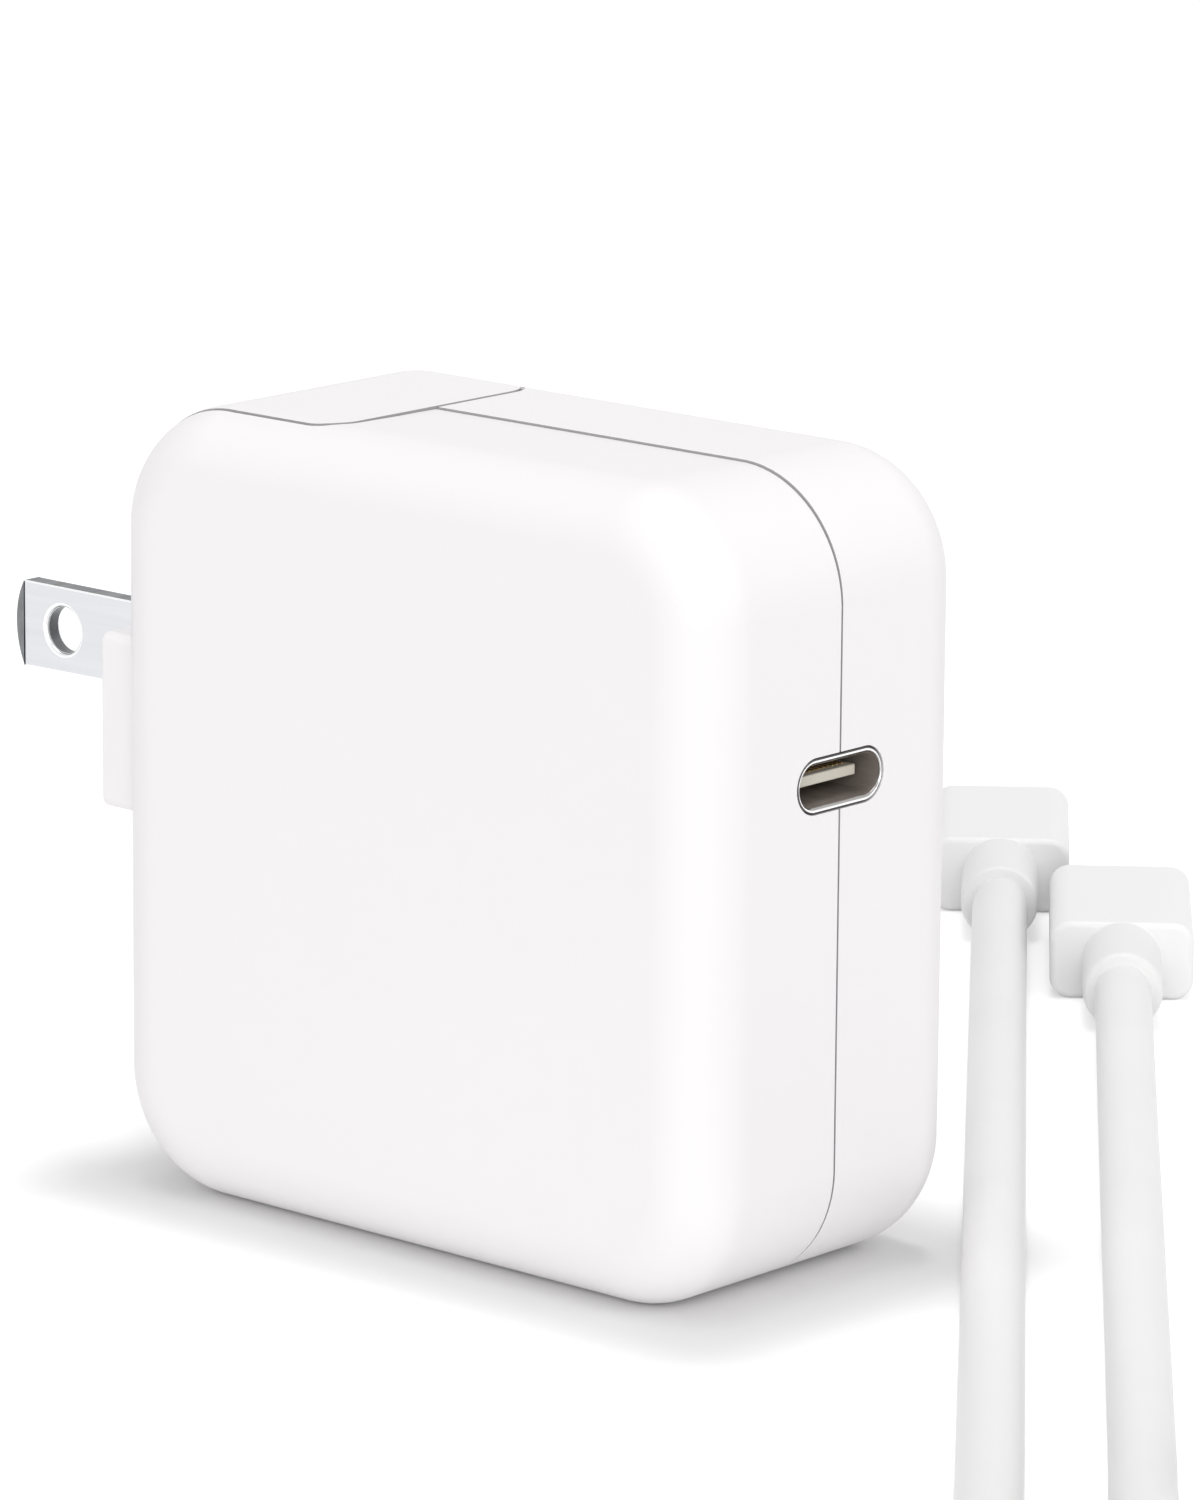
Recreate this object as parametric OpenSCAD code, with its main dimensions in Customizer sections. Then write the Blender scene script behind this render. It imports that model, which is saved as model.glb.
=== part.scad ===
// USB-C wall adapter with a slide-off plug module, folding blades and a loose USB-C cable.
// Origin: centre of the flat face that the adapter stands on. +X points to the USB-C port,
// the blades point to -X, the large faces look along -Y and +Y, and +Z is up. Millimetres.

/* [Body] */
// Width, from the blade side to the port side
body_w = 56; // [52:0.5:64]
// Height as the adapter stands
body_h = 57; // [54:0.5:66]
// Thickness across the two large faces
body_t = 28; // [27:0.5:32]
// Radius of the four corners of the large faces
corner_r = 9; // [7.5:0.5:11]
// Radius of the soft edge round each large face
edge_r = 4.7; // [3.5:0.1:5.5]
// Wall of the two case shells
wall = 1.8; // [1.4:0.1:2]
// Depth of the fine groove along the parting line
seam_groove = 0.12; // [0.05:0.01:0.2]
// Height of the tongue that lines up the two shells
tongue_h = 1.2; // [0.8:0.1:1.6]

/* [Plug module] */
// Depth of the plug module, from the blade side of the body
plug_depth = 19; // [18.5:0.25:21]
// Height of the plug module, from the top of the body down
plug_h = 37.5; // [37:0.25:39]
// Width of the pocket that takes the plug module
plug_w = 21; // [20.5:0.25:21.5]
// Corner radius of the module, seen from above
plug_r = 2.5; // [1.5:0.25:3.5]
// Gap all round the module in its pocket
plug_gap = 0.15; // [0.1:0.01:0.2]
// Wall of the module and of its pocket
plug_wall = 1.5; // [1.2:0.1:1.6]
// How far the raised boss round the blades stands out
boss_out = 4.3; // [4:0.1:4.8]
// Width of the boss
boss_w = 20.2; // [19.6:0.1:20.4]
// Height of the boss
boss_h = 12.2; // [11.6:0.1:12.8]
// Corner radius of the boss
boss_r = 1.5; // [1:0.1:2]
// Soft edge of the boss
boss_edge = 0.8; // [0.4:0.1:1]

/* [Blades] */
// Width of a blade
blade_w = 6.35; // [6.2:0.05:6.5]
// Thickness of a blade
blade_t = 1.5; // [1.4:0.02:1.6]
// Distance between the two blades' centres
blade_pitch = 12.7; // [12.5:0.1:12.9]
// How far the blades stand out from the side of the body
blade_out = 16.3; // [15.9:0.1:16.8]
// Height of the blades' centre line above the module's underside
blade_up = 18.2; // [17.8:0.1:18.6]
// Hole near the tip of a blade
blade_hole_d = 3.9; // [3:0.1:4]
// Distance of that hole from the tip
blade_hole_in = 5.2; // [4.8:0.1:5.8]
// Distance of the hinge axis from the side of the body, outwards
hinge_out = 0.5; // [0.3:0.1:0.7]
// Distance of the hinge axis below the blades' centre line
hinge_drop = 0.5; // [0.3:0.1:0.7]
// Radius of the axle that the blades turn on
axle_r = 1.3; // [1.1:0.05:1.4]

/* [Mains inlet] */
// Distance between the two inlet pins
pin_pitch = 8.6; // [8.4:0.1:8.8]
// Diameter of an inlet pin
pin_d = 2.4; // [2.2:0.05:2.5]
// Length of an inlet pin inside its well
pin_len = 8; // [7:0.25:8.5]
// Depth of the well below the pocket floor
well_depth = 9.4; // [9:0.1:9.8]
// Radius of each lobe of the figure-eight nose
nose_r = 3.8; // [3.7:0.05:3.9]
// Distance between the centres of the two lobes
lobe_pitch = 5.8; // [5.6:0.1:6]
// Distance of the pins from the blade side of the body
inlet_in = 9.5; // [9.3:0.1:10]
// Height of the metal stud above the pocket's floor
stud_up = 16.5; // [15.5:0.5:17.5]

/* [USB-C port] */
// Height of the port's centre above the standing face
port_z = 36.2; // [35.5:0.1:37]
// Width of the port's polished rim
rim_w = 9.1; // [9:0.05:9.3]
// Height of the port's polished rim
rim_h = 3.95; // [3.8:0.05:4.1]
// Width of the opening that takes a plug
port_w = 8.34; // [8.3:0.01:8.4]
// Height of the opening that takes a plug
port_h = 2.56; // [2.54:0.01:2.62]
// How far the tongue stops short of the rim
tongue_in = 1.5; // [1:0.1:2]

/* [Electronics] */
// Thickness of the circuit boards
board_t = 1.2; // [1:0.1:1.6]
// Height of the posts that carry the main board
post_h = 2.2; // [1.8:0.1:2.4]
// Width of the transformer
trafo_w = 18; // [16:0.5:19]
// Height of the transformer
trafo_h = 16; // [15:0.5:16.5]
// Diameter of the bulk capacitors
bulk_d = 10; // [8:0.5:10]
// Length of the bulk capacitors
bulk_len = 20; // [16:0.5:20]
// Outer diameter of the choke's core
choke_d = 10; // [8:0.5:10.5]

/* [Cable] */
// Diameter of the cable
cable_d = 4.4; // [4:0.1:4.6]
// Direction in which the loose cable lies beside the adapter
cable_yaw = 38.5; // [38:0.5:42]
// Width of a cable plug's grip
grip_w = 11.2; // [10.4:0.1:11.6]
// Thickness of a cable plug's grip
grip_t = 6.2; // [5.8:0.1:6.6]
// Length of a cable plug's grip
grip_len = 19.2; // [17:0.2:22]
// Diameter of the sleeve behind the grip
sleeve_d = 6.2; // [5.6:0.1:6.6]
// Length of the sleeve behind the grip
sleeve_len = 9.6; // [8:0.2:12]
// Width of the metal plug shell
shell_w = 8.25; // [8.2:0.01:8.3]
// Thickness of the metal plug shell
shell_t = 2.4; // [2.35:0.01:2.45]
// Length of the metal plug shell outside the grip
shell_len = 6.65; // [6.2:0.05:7]
// Distance between neighbouring turns of the coil, centre to centre
coil_pitch = 4.9; // [4.85:0.05:5.2]

/* [Hidden] */
$fn = 64;
eps = 0.01;
over = 1;

case_white = [0.96, 0.955, 0.96];
pin_metal = [0.80, 0.81, 0.82];
board_green = [0.10, 0.32, 0.20];
chip_black = [0.10, 0.10, 0.11];

half_w = body_w / 2;
half_t = body_t / 2;
inner_x = half_w - wall;
inner_y = half_t - wall;
inner_top = body_h - wall;

// The pocket for the plug module, and the walls round it
pocket_x = -half_w + plug_depth;
pocket_z = body_h - plug_h;
pocket_wall_x = pocket_x + plug_wall;
pocket_floor = pocket_z - plug_wall;
module_y = plug_w / 2 - plug_gap;
module_x = pocket_x - plug_gap;
module_z = pocket_z + plug_gap;

// Hinge of the blades
blade_z = pocket_z + blade_up;
hinge_x = -half_w - hinge_out;
hinge_z = blade_z - hinge_drop;
tip_x = -half_w - blade_out;
blade_top = blade_z + blade_w / 2;
blade_low = blade_z - blade_w / 2;
root_r = blade_top - hinge_z;
slot_gap = 0.3;
slot_w = blade_t + 2 * slot_gap;
slot_end = hinge_z - (hinge_x - tip_x) - slot_gap;
slot_floor = hinge_x + (hinge_z - blade_low) + 0.325;
boss_top = hinge_z + 1.5;
boss_low = boss_top - boss_h;
block_x = slot_floor + 0.6;
block_y = blade_pitch / 2 + slot_w / 2 + 1.6;
blade_y = blade_pitch / 2;
core_half = blade_y - blade_t / 2;
core_r = 2.4;
core_gap = 0.3;
axle_end = block_y - 0.05;

// Inlet and stud
inlet_x = -half_w + inlet_in;
stud_z = pocket_z + stud_up;
nose_gap = 0.3;
well_wall = 1.2;
well_z = pocket_z - well_depth;
well_base = 1.6;
stud_neck_r = 1.8;
stud_head_r = 3.1;
stud_head_t = 1.1;
cover_t = 1.3;
stud_head_x = module_x - cover_t - 0.25;
channel_w = 2 * (stud_head_r + 0.3);
channel_x = stud_head_x - stud_head_t - 0.3;
neck_w = 2 * (stud_neck_r + 0.3);
channel_wall = 1;
nose_z = well_z + 0.8;
contact_r = 1.8;
contact_bore = pin_d / 2 + 0.1;
contact_top = module_z + plug_wall + 5;

// Boards and the port
board_back = inner_y - post_h;
board_face = board_back - board_t;
board_inset = 1.2;
can_w = 8.94;
can_h = 3.26;
can_len = 8.6;
rim_len = 1.6;
port_board_len = 22;
port_board_x = half_w - port_board_len;
port_board_z = port_z - can_h / 2 - board_t;
port_board_top = port_board_z + board_t;
port_board_y = -inner_y + 1.2;
ledge_w = 2;
ledge_x = [port_board_x + 4, half_w - 8];

// Parts on the main board, each placed from its neighbours
part_gap = 0.6;
bulk_right = inner_x - 2.6 - bulk_d / 2;
bulk_low = wall + 2.6 + bulk_d / 2;
bulk_step = bulk_d + 0.8;
bulk_left = bulk_right - bulk_step - bulk_d / 2;
sink_t = 1.2;
sink_h = 14;
sink_x = bulk_left - part_gap;
sink_z = bulk_low + bulk_d / 2 + 1;
switch_t = 4.4;
fuse_r = 1.9;
fuse_x = (sink_x + sink_t + switch_t + bulk_right - bulk_d / 2) / 2;
bridge_t = 3.8;
bridge_z = bulk_low + bulk_step + bulk_d / 2 + 1;
wire_t = 0.8;
well_right = inlet_x + nose_r + nose_gap + well_wall;
choke_x = (well_right + bulk_left) / 2;
choke_z = wall + 2 + choke_d / 2 + wire_t + 0.2;
nut_r = 3.2;
nut_t = 1.6;
out_cap_d = 8;
out_cap_x = inner_x - 1 - out_cap_d / 2;
out_cap_z = inner_top - (corner_r - wall) + 1.3;
trafo_x = (pocket_wall_x + nut_t + out_cap_x - out_cap_d / 2) / 2;
trafo_z = max(inner_top - 1.7 - trafo_h / 2, port_board_top + 1.2 + trafo_h / 2);
trafo_y = 0.7;
trafo_leg = 5;
trafo_core_t = 7;
trafo_reach = 8.1;
bobbin_wall = 0.6;
y_cap_r = 3.6;
y_cap_x = port_board_x - 0.4 - y_cap_r;
y_cap_t = 3;
y_cap_z = trafo_z - trafo_h / 2 - y_cap_t - 1.1;
x_cap_w = 6;
x_cap_h = 12.8;
x_cap_x = pocket_wall_x + 1.1;
x_cap_z = max(pocket_floor + part_gap, choke_z + choke_d / 2 + wire_t + part_gap);
x_cap_top = min(x_cap_z + x_cap_h, stud_z - nut_r - 0.5, y_cap_z - 0.4);

// ---------- shared shapes ----------

// A rectangle with round corners, centred in x and standing on the x axis
module outline(w, h, r) {
    translate([-w / 2 + r, 0]) square([w - 2 * r, h]);
    translate([-w / 2, r]) square([w, h - 2 * r]);
    for (x = [-w / 2 + r, w / 2 - r], y = [r, h - r]) translate([x, y]) circle(r);
}

// Stretches a profile drawn in x and z from y0 to y1
module across(y0, y1) {
    translate([0, y1, 0]) rotate([90, 0, 0]) linear_extrude(y1 - y0) children();
}

// Stretches a profile drawn in y and z from x0 to x1
module along(x0, x1) {
    translate([x0, 0, 0]) rotate([90, 0, 90]) linear_extrude(x1 - x0) children();
}

// A box between two corners
module block(low, high) {
    translate(low) cube(high - low);
}

// Section through the rim of a half shell: u runs outwards, v runs from the parting plane
module rim_section(r_c, t, r_e, groove, behind) {
    difference() {
        translate([0, -behind]) square([r_c, t + behind]);
        translate([r_c - r_e, t - r_e]) difference() {
            square(r_e + over);
            circle(r_e);
        }
        if (groove > 0)
            polygon([[r_c - groove, -over], [r_c - groove, 0], [r_c, groove],
                [r_c + over, groove], [r_c + over, -over]]);
    }
}

// Half of a rounded block, from the parting plane y = 0 to its face at y = -t
module half_form(w, h, t, r_c, r_e, groove = 0, behind = 0) {
    side = [h, w, h, w];
    spots = [[w / 2 - r_c, h - r_c], [-w / 2 + r_c, h - r_c], [-w / 2 + r_c, r_c], [w / 2 - r_c, r_c]];
    rotate([90, 0, 0]) {
        translate([-w / 2 + r_c, r_c, -behind]) cube([w - 2 * r_c, h - 2 * r_c, t + behind]);
        for (k = [0:3]) {
            translate(spots[k]) rotate([0, 0, 90 * k]) {
                rotate_extrude(angle = 90) rim_section(r_c, t, r_e, groove, behind);
                rotate([90, 0, 0]) linear_extrude(side[k] - 2 * r_c)
                    rim_section(r_c, t, r_e, groove, behind);
            }
        }
    }
}

// The whole outer form of the adapter, with no seams
module outer_form() {
    half_form(body_w, body_h, half_t, corner_r, edge_r);
    mirror([0, 1, 0]) half_form(body_w, body_h, half_t, corner_r, edge_r);
}

// Plan of the plug module, seen from above, with a gap all round
module module_plan(gap) {
    x1 = pocket_x - gap;
    y1 = plug_w / 2 - gap;
    translate([-half_w - 2 * over, -y1]) square([x1 - plug_r + half_w + 2 * over, 2 * y1]);
    translate([-half_w - 2 * over, -y1 + plug_r]) square([x1 + half_w + 2 * over, 2 * (y1 - plug_r)]);
    for (y = [-1, 1]) translate([x1 - plug_r, y * (y1 - plug_r)]) circle(plug_r);
}

// Two round lobes side by side along y, joined by a straight waist
module figure_eight(r) {
    for (y = [-1, 1]) translate([inlet_x, y * lobe_pitch / 2]) circle(r);
    translate([inlet_x - r + 0.5, -lobe_pitch / 2]) square([2 * r - 1, lobe_pitch]);
}

// A slot with round ends, w wide in y and h high in z, centred at height z
module port_outline(w, h, z) {
    translate([0, z]) {
        for (y = [-1, 1]) translate([y * (w - h) / 2, 0]) circle(h / 2);
        square([w - h, h], center = true);
    }
}

// ---------- case ----------

// One case shell in the front position: walls, pocket, pocket walls and tongue or groove
module case_half(tongue) {
    difference() {
        union() {
            difference() {
                half_form(body_w, body_h, half_t, corner_r, edge_r, seam_groove);
                difference() {
                    translate([0, 0, wall])
                        half_form(body_w - 2 * wall, body_h - 2 * wall, half_t - wall,
                            corner_r - wall, edge_r - wall, 0, over);
                    block([-half_w, -half_t, pocket_floor], [pocket_wall_x, over, body_h]);
                }
                if (!tongue) difference() {
                    across(-tongue_h - 0.2, over)
                        translate([0, wall / 2 - 0.05])
                        outline(body_w - wall + 0.1, body_h - wall + 0.1, corner_r - wall / 2 + 0.05);
                    across(-tongue_h - 2 * over, 2 * over) translate([0, wall])
                        outline(body_w - 2 * wall, body_h - 2 * wall, corner_r - wall);
                    block([-half_w - over, -half_t, pocket_floor], [pocket_wall_x, 2 * over, body_h + over]);
                }
            }
            if (tongue) difference() {
                across(-0.5, tongue_h) translate([0, wall / 2 + 0.05])
                    outline(body_w - wall - 0.1, body_h - wall - 0.1, corner_r - wall / 2 - 0.05);
                across(-over, tongue_h + over) translate([0, wall - 0.05])
                    outline(body_w - 2 * wall + 0.1, body_h - 2 * wall + 0.1, corner_r - wall + 0.05);
                block([-half_w - over, -half_t, pocket_floor - 0.1],
                    [pocket_wall_x + 0.1, half_t, body_h + over]);
            }
        }
        translate([0, 0, pocket_z]) linear_extrude(plug_h + over) module_plan(0);
        translate([0, 0, pocket_floor - over]) linear_extrude(2 * over + plug_wall)
            figure_eight(nose_r + nose_gap);
        along(pocket_x - over, pocket_wall_x + over) translate([0, stud_z]) circle(stud_neck_r);
        along(inner_x - over, half_w + over) port_outline(rim_w, rim_h, port_z);
    }
}

module front_shell() {
    color(case_white) {
        case_half(true);
        // Ledges that carry the port board
        for (x = ledge_x)
            block([x, -inner_y - eps, port_board_z - 1.5], [x + ledge_w, -inner_y + 3, port_board_z]);
    }
}

post_spots = [
    [-half_w + 8.5, wall + 8], [bulk_right - bulk_step / 2, wall + 4],
    [pocket_wall_x + 5, pocket_z + 12], [half_w - 10, body_h - 12]];

module back_shell() {
    color(case_white) {
        mirror([0, 1, 0]) case_half(false);
        for (p = post_spots) across(board_back, inner_y + eps) translate(p) circle(1.8);
    }
}

// ---------- boards ----------

module main_board() {
    color(board_green) difference() {
        across(board_face, board_back) translate([0, wall + board_inset])
            outline(body_w - 2 * (wall + board_inset), body_h - 2 * (wall + board_inset),
                corner_r - wall - board_inset);
        block([-half_w, 0, pocket_floor - 0.6], [pocket_wall_x + 0.6, half_t, body_h]);
        along(port_board_x + 8, half_w) translate([0, port_z])
            square([2 * half_t, can_h + 1], center = true);
    }
}

module insulating_film() {
    film_t = 0.3;
    color([0.85, 0.80, 0.55]) difference() {
        across(inner_y - film_t, inner_y) translate([0, wall + edge_r])
            outline(body_w - 2 * (wall + edge_r), body_h - 2 * (wall + edge_r), 3);
        block([-half_w, 0, pocket_floor - 0.6], [pocket_wall_x + 0.6, half_t, body_h]);
        for (p = post_spots) across(0, half_t) translate(p) circle(2.1);
    }
}

module heat_spreader() {
    color([0.85, 0.55, 0.40]) difference() {
        across(-inner_y, -inner_y + 0.5) translate([0, wall + edge_r])
            outline(body_w - 2 * (wall + edge_r), body_h - 2 * (wall + edge_r), 3);
        block([-half_w, -half_t, pocket_floor - 0.6], [pocket_wall_x + 0.6, 0, body_h]);
        block([ledge_x[0] - 1, -half_t, port_board_z - 2], [half_w, 0, port_board_z + 0.5]);
    }
}

module thermal_pad() {
    color([0.60, 0.62, 0.66])
        block([trafo_x - trafo_w / 2 + 2, -inner_y + 0.5, trafo_z - trafo_h / 2 + 3],
            [trafo_x + trafo_w / 2 - 2, trafo_y - trafo_reach, trafo_z + trafo_h / 2 - 3]);
}

module port_board() {
    color(board_green)
        block([port_board_x, port_board_y, port_board_z], [inner_x - 0.4, board_face, port_board_top]);
}

// ---------- mains inlet ----------

module inlet_well() {
    color([0.93, 0.93, 0.92]) difference() {
        translate([0, 0, well_z - well_base]) linear_extrude(pocket_floor - well_z + well_base)
            figure_eight(nose_r + nose_gap + well_wall);
        translate([0, 0, well_z]) linear_extrude(plug_h) figure_eight(nose_r + nose_gap);
        for (y = [-1, 1]) translate([inlet_x, y * pin_pitch / 2, well_z - 2 * well_base])
            cylinder(h = 3 * well_base, r = pin_d / 2);
    }
}

// Each pin passes down through the well and turns back to the main board
module inlet_pins() {
    tail = 1.2;
    room_below = well_z - well_base - wall;
    color(pin_metal) for (s = [-1, 1]) {
        turn_z = wall + room_below * (s < 0 ? 0.15 : 0.58);
        translate([inlet_x, s * pin_pitch / 2, turn_z]) {
            cylinder(h = well_z + pin_len - 0.6 - turn_z, r = pin_d / 2);
            translate([0, 0, well_z + pin_len - 0.6 - turn_z])
                cylinder(h = 0.6, r1 = pin_d / 2, r2 = pin_d / 2 - 0.6);
        }
        block([inlet_x - tail / 2, s * pin_pitch / 2, turn_z],
            [inlet_x + tail / 2, board_face, turn_z + 0.7]);
    }
}

module ground_stud() {
    color(pin_metal) {
        along(stud_head_x, pocket_wall_x + nut_t) translate([0, stud_z]) circle(stud_neck_r);
        along(stud_head_x - stud_head_t, stud_head_x) translate([0, stud_z]) circle(stud_head_r);
    }
}

module stud_nut() {
    color([0.70, 0.71, 0.72]) along(pocket_wall_x, pocket_wall_x + nut_t)
        translate([0, stud_z]) difference() {
            circle(nut_r, $fn = 6);
            circle(stud_neck_r);
        }
}

// ---------- primary side ----------

module fuse() {
    z = sink_z + sink_h / 2;
    color([0.55, 0.35, 0.22]) {
        across(board_face - 8.5, board_face - 0.8) translate([fuse_x, z]) circle(fuse_r);
        for (d = [-1, 1]) across(board_face - 1, board_face)
            translate([fuse_x + d, z]) circle(0.35);
    }
}

module choke_core() {
    color([0.20, 0.21, 0.22]) difference() {
        across(-1, 4) translate([choke_x, choke_z]) circle(choke_d / 2);
        across(-2, 5) translate([choke_x, choke_z]) circle(choke_d / 2 - 2.2);
    }
}

// Two copper windings wrap the ring, each ending in two leads down to the board
module choke_windings() {
    color([0.78, 0.42, 0.20]) difference() {
        for (s = [0, 180]) translate([choke_x, 4.8, choke_z]) rotate([90, 0, 0])
            rotate([0, 0, s - 55]) {
                rotate_extrude(angle = 110) translate([choke_d / 2 - 2.2 - wire_t, 0])
                    square([2.2 + 2 * wire_t, 5 + 2 * wire_t]);
                for (a = [8, 102]) rotate([0, 0, a])
                    translate([choke_d / 2 + wire_t / 2 - 0.1, 0, -board_face + 4.8])
                    cylinder(h = board_face - 4.8 + 0.2, r = wire_t / 2);
            }
        across(-1, 4) translate([choke_x, choke_z]) difference() {
            circle(choke_d / 2);
            circle(choke_d / 2 - 2.2);
        }
    }
}

module x_capacitor() {
    color([0.92, 0.74, 0.12])
        block([x_cap_x, board_face - 12, x_cap_z],
            [min(x_cap_x + x_cap_w, sink_x - 0.4), board_face, x_cap_top]);
}

module bridge_rectifier() {
    x1 = inner_x - 2;
    z0 = bridge_z;
    color(chip_black) {
        difference() {
            block([x1 - 15, board_face - 11, z0], [x1, board_face - 1, z0 + bridge_t]);
            block([x1 - over, board_face - 12, z0 + bridge_t - 1],
                [x1 + over, board_face, z0 + bridge_t + 1]);
        }
        for (k = [0:3]) block([x1 - 13.2 + 3.6 * k, board_face - 1.2, z0 + 1.5],
            [x1 - 12.4 + 3.6 * k, board_face, z0 + 2.1]);
    }
}

// A can with its rolled rim, standing on the board
module bulk_capacitor(x, z) {
    color([0.13, 0.18, 0.34]) translate([x, board_face, z]) rotate([90, 0, 0]) difference() {
        cylinder(h = bulk_len, r = bulk_d / 2);
        translate([0, 0, 1.6]) rotate_extrude() translate([bulk_d / 2, 0]) circle(0.5);
        translate([0, 0, bulk_len - 0.3]) for (a = [0, 60, 120]) rotate([0, 0, a])
            cube([bulk_d - 2.4, 0.4, 1], center = true);
    }
}

module bulk_capacitor_a() bulk_capacitor(bulk_right, bulk_low);
module bulk_capacitor_b() bulk_capacitor(bulk_right, bulk_low + bulk_step);
module bulk_capacitor_c() bulk_capacitor(bulk_right - bulk_step, bulk_low);

module switch_heatsink() {
    color([0.75, 0.76, 0.78]) difference() {
        block([sink_x, board_face - 18, sink_z], [sink_x + sink_t, board_face, sink_z + sink_h]);
        along(sink_x - over, sink_x + 2 * over) translate([board_face - 14, sink_z + sink_h / 2])
            circle(1.6);
    }
}

// The switching transistor lies flat on its heatsink, with three legs into the board
module primary_switch() {
    x = sink_x + sink_t;
    z = sink_z + sink_h / 2;
    color(chip_black) {
        difference() {
            block([x, board_face - 17, z - 5], [x + switch_t, board_face - 3, z + 5]);
            along(x - over, x + 6) translate([board_face - 14, z]) circle(1.6);
            block([x + switch_t - 1.6, board_face - 18, z - 7], [x + 6, board_face - 11, z + 7]);
        }
        for (k = [-1:1]) block([x + 1.6, board_face - 3.2, z - 0.4 + 2.5 * k],
            [x + 2.3, board_face, z + 0.4 + 2.5 * k]);
    }
}

// ---------- transformer ----------

module transformer_core() {
    window = (trafo_w - trafo_leg) / 2 - 2.5;
    color([0.22, 0.22, 0.24]) translate([trafo_x, 0, trafo_z]) across(trafo_y - trafo_core_t / 2,
        trafo_y + trafo_core_t / 2) difference() {
        square([trafo_w, trafo_h], center = true);
        for (s = [-1, 1]) translate([s * (trafo_leg + window) / 2, 0])
            square([window, trafo_h - 5], center = true);
    }
}

// Flanged former on the centre leg, with its foot on the board
module transformer_bobbin() {
    leg_x = trafo_leg / 2 + 0.1;
    leg_y = trafo_core_t / 2 + 0.1;
    out_x = (trafo_w - 5) / 2 - 0.1;
    flange_z = trafo_h / 2 - 2.6;
    color([0.16, 0.16, 0.17]) difference() {
        translate([trafo_x, trafo_y, trafo_z]) {
            block([-leg_x - bobbin_wall, -leg_y - bobbin_wall, -flange_z],
                [leg_x + bobbin_wall, leg_y + bobbin_wall, flange_z]);
            for (z = [-flange_z, flange_z - 0.8]) {
                block([-out_x, -leg_y, z], [out_x, leg_y, z + 0.8]);
                block([-out_x - 1, leg_y, z], [out_x + 1, board_face - trafo_y, z + 0.8]);
                block([-out_x - 1, -trafo_reach, z], [out_x + 1, -leg_y, z + 0.8]);
            }
        }
        translate([trafo_x, trafo_y, trafo_z]) cube([2 * leg_x, 2 * leg_y, trafo_h], center = true);
    }
}

module transformer_winding() {
    leg_x = trafo_leg / 2 + 0.1 + bobbin_wall;
    leg_y = trafo_core_t / 2 + 0.1 + bobbin_wall;
    out_x = (trafo_w - 5) / 2 - 0.2;
    wound = trafo_h / 2 - 3.4;
    color([0.90, 0.78, 0.18]) translate([trafo_x, trafo_y, trafo_z - wound])
        linear_extrude(2 * wound) difference() {
            translate([0, -trafo_reach + 0.7]) outline(2 * out_x, 2 * trafo_reach - 1.4, 2);
            square([2 * leg_x, 2 * leg_y], center = true);
        }
}

module y_capacitor() {
    color([0.16, 0.36, 0.66]) {
        translate([y_cap_x, board_face - y_cap_r - 0.8, y_cap_z]) cylinder(h = y_cap_t, r = y_cap_r);
        for (s = [-1, 1]) across(board_face - 1.6, board_face)
            translate([y_cap_x + 2 * s, y_cap_z + y_cap_t / 2]) circle(0.35);
    }
}

// Small flat package on the back of the main board
module rear_chip(x, z, w, h, t) {
    color(chip_black) {
        block([x, board_back, z], [x + w, board_back + t, z + h]);
        for (k = [0:3]) block([x - 0.8, board_back, z + 0.5 + k * (h - 1.4) / 3],
            [x + w + 0.8, board_back + 0.25, z + 0.9 + k * (h - 1.4) / 3]);
    }
}

module primary_controller() rear_chip(pocket_wall_x + 12, wall + 12, 4, 5, 1.5);
module optocoupler() rear_chip(pocket_wall_x + 12, pocket_z + 4, 4.4, 6.5, 1.8);
module sync_rectifier() rear_chip(half_w - 14, pocket_z + 4, 5, 6, 1.2);

// ---------- output side ----------

// A bare can on its base plate, pointing along z
module output_can(d, len) {
    color([0.72, 0.74, 0.76]) {
        cylinder(h = 0.8, r = d / 2);
        cylinder(h = len, r = d / 2 - 0.25);
    }
}

module output_capacitor_a() {
    translate([out_cap_x, board_face, out_cap_z]) rotate([90, 0, 0]) output_can(out_cap_d, 11);
}

module output_capacitor_b() {
    d = 6.3;
    translate([half_w - 8, -can_w / 2 - 0.3 - d / 2, port_board_top]) output_can(d, 8);
}

module output_choke() {
    color([0.30, 0.30, 0.32])
        block([port_board_x + 2, port_board_y + 0.2, port_board_top],
            [port_board_x + 8, port_board_y + 3.2, port_board_top + 3]);
}

module power_controller() {
    color(chip_black)
        block([port_board_x + 1.5, -7, port_board_top],
            [port_board_x + 5.5, -3, port_board_top + 0.9]);
}

// ---------- USB-C port ----------

module port_shell() {
    x_back = half_w - rim_len - can_len + 1;
    flare = 0.25;
    color([0.78, 0.78, 0.79]) difference() {
        union() {
            along(half_w - rim_len, half_w) port_outline(rim_w, rim_h, port_z);
            along(x_back, half_w - rim_len + eps) port_outline(can_w, can_h, port_z);
        }
        along(x_back + 1, half_w + over) port_outline(port_w, port_h, port_z);
        // Flared lip of the opening: two cone ends and a wedge-sided middle
        translate([half_w, 0, port_z]) {
            for (s = [-1, 1]) translate([-flare, s * (port_w - port_h) / 2, 0]) rotate([0, 90, 0])
                cylinder(h = flare + eps, r1 = port_h / 2, r2 = port_h / 2 + flare + eps);
            translate([0, (port_w - port_h) / 2, 0]) rotate([90, 0, 0])
                linear_extrude(port_w - port_h)
                polygon([[-flare, -port_h / 2], [eps, -port_h / 2 - flare - eps],
                    [eps, port_h / 2 + flare + eps], [-flare, port_h / 2]]);
        }
    }
}

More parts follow.
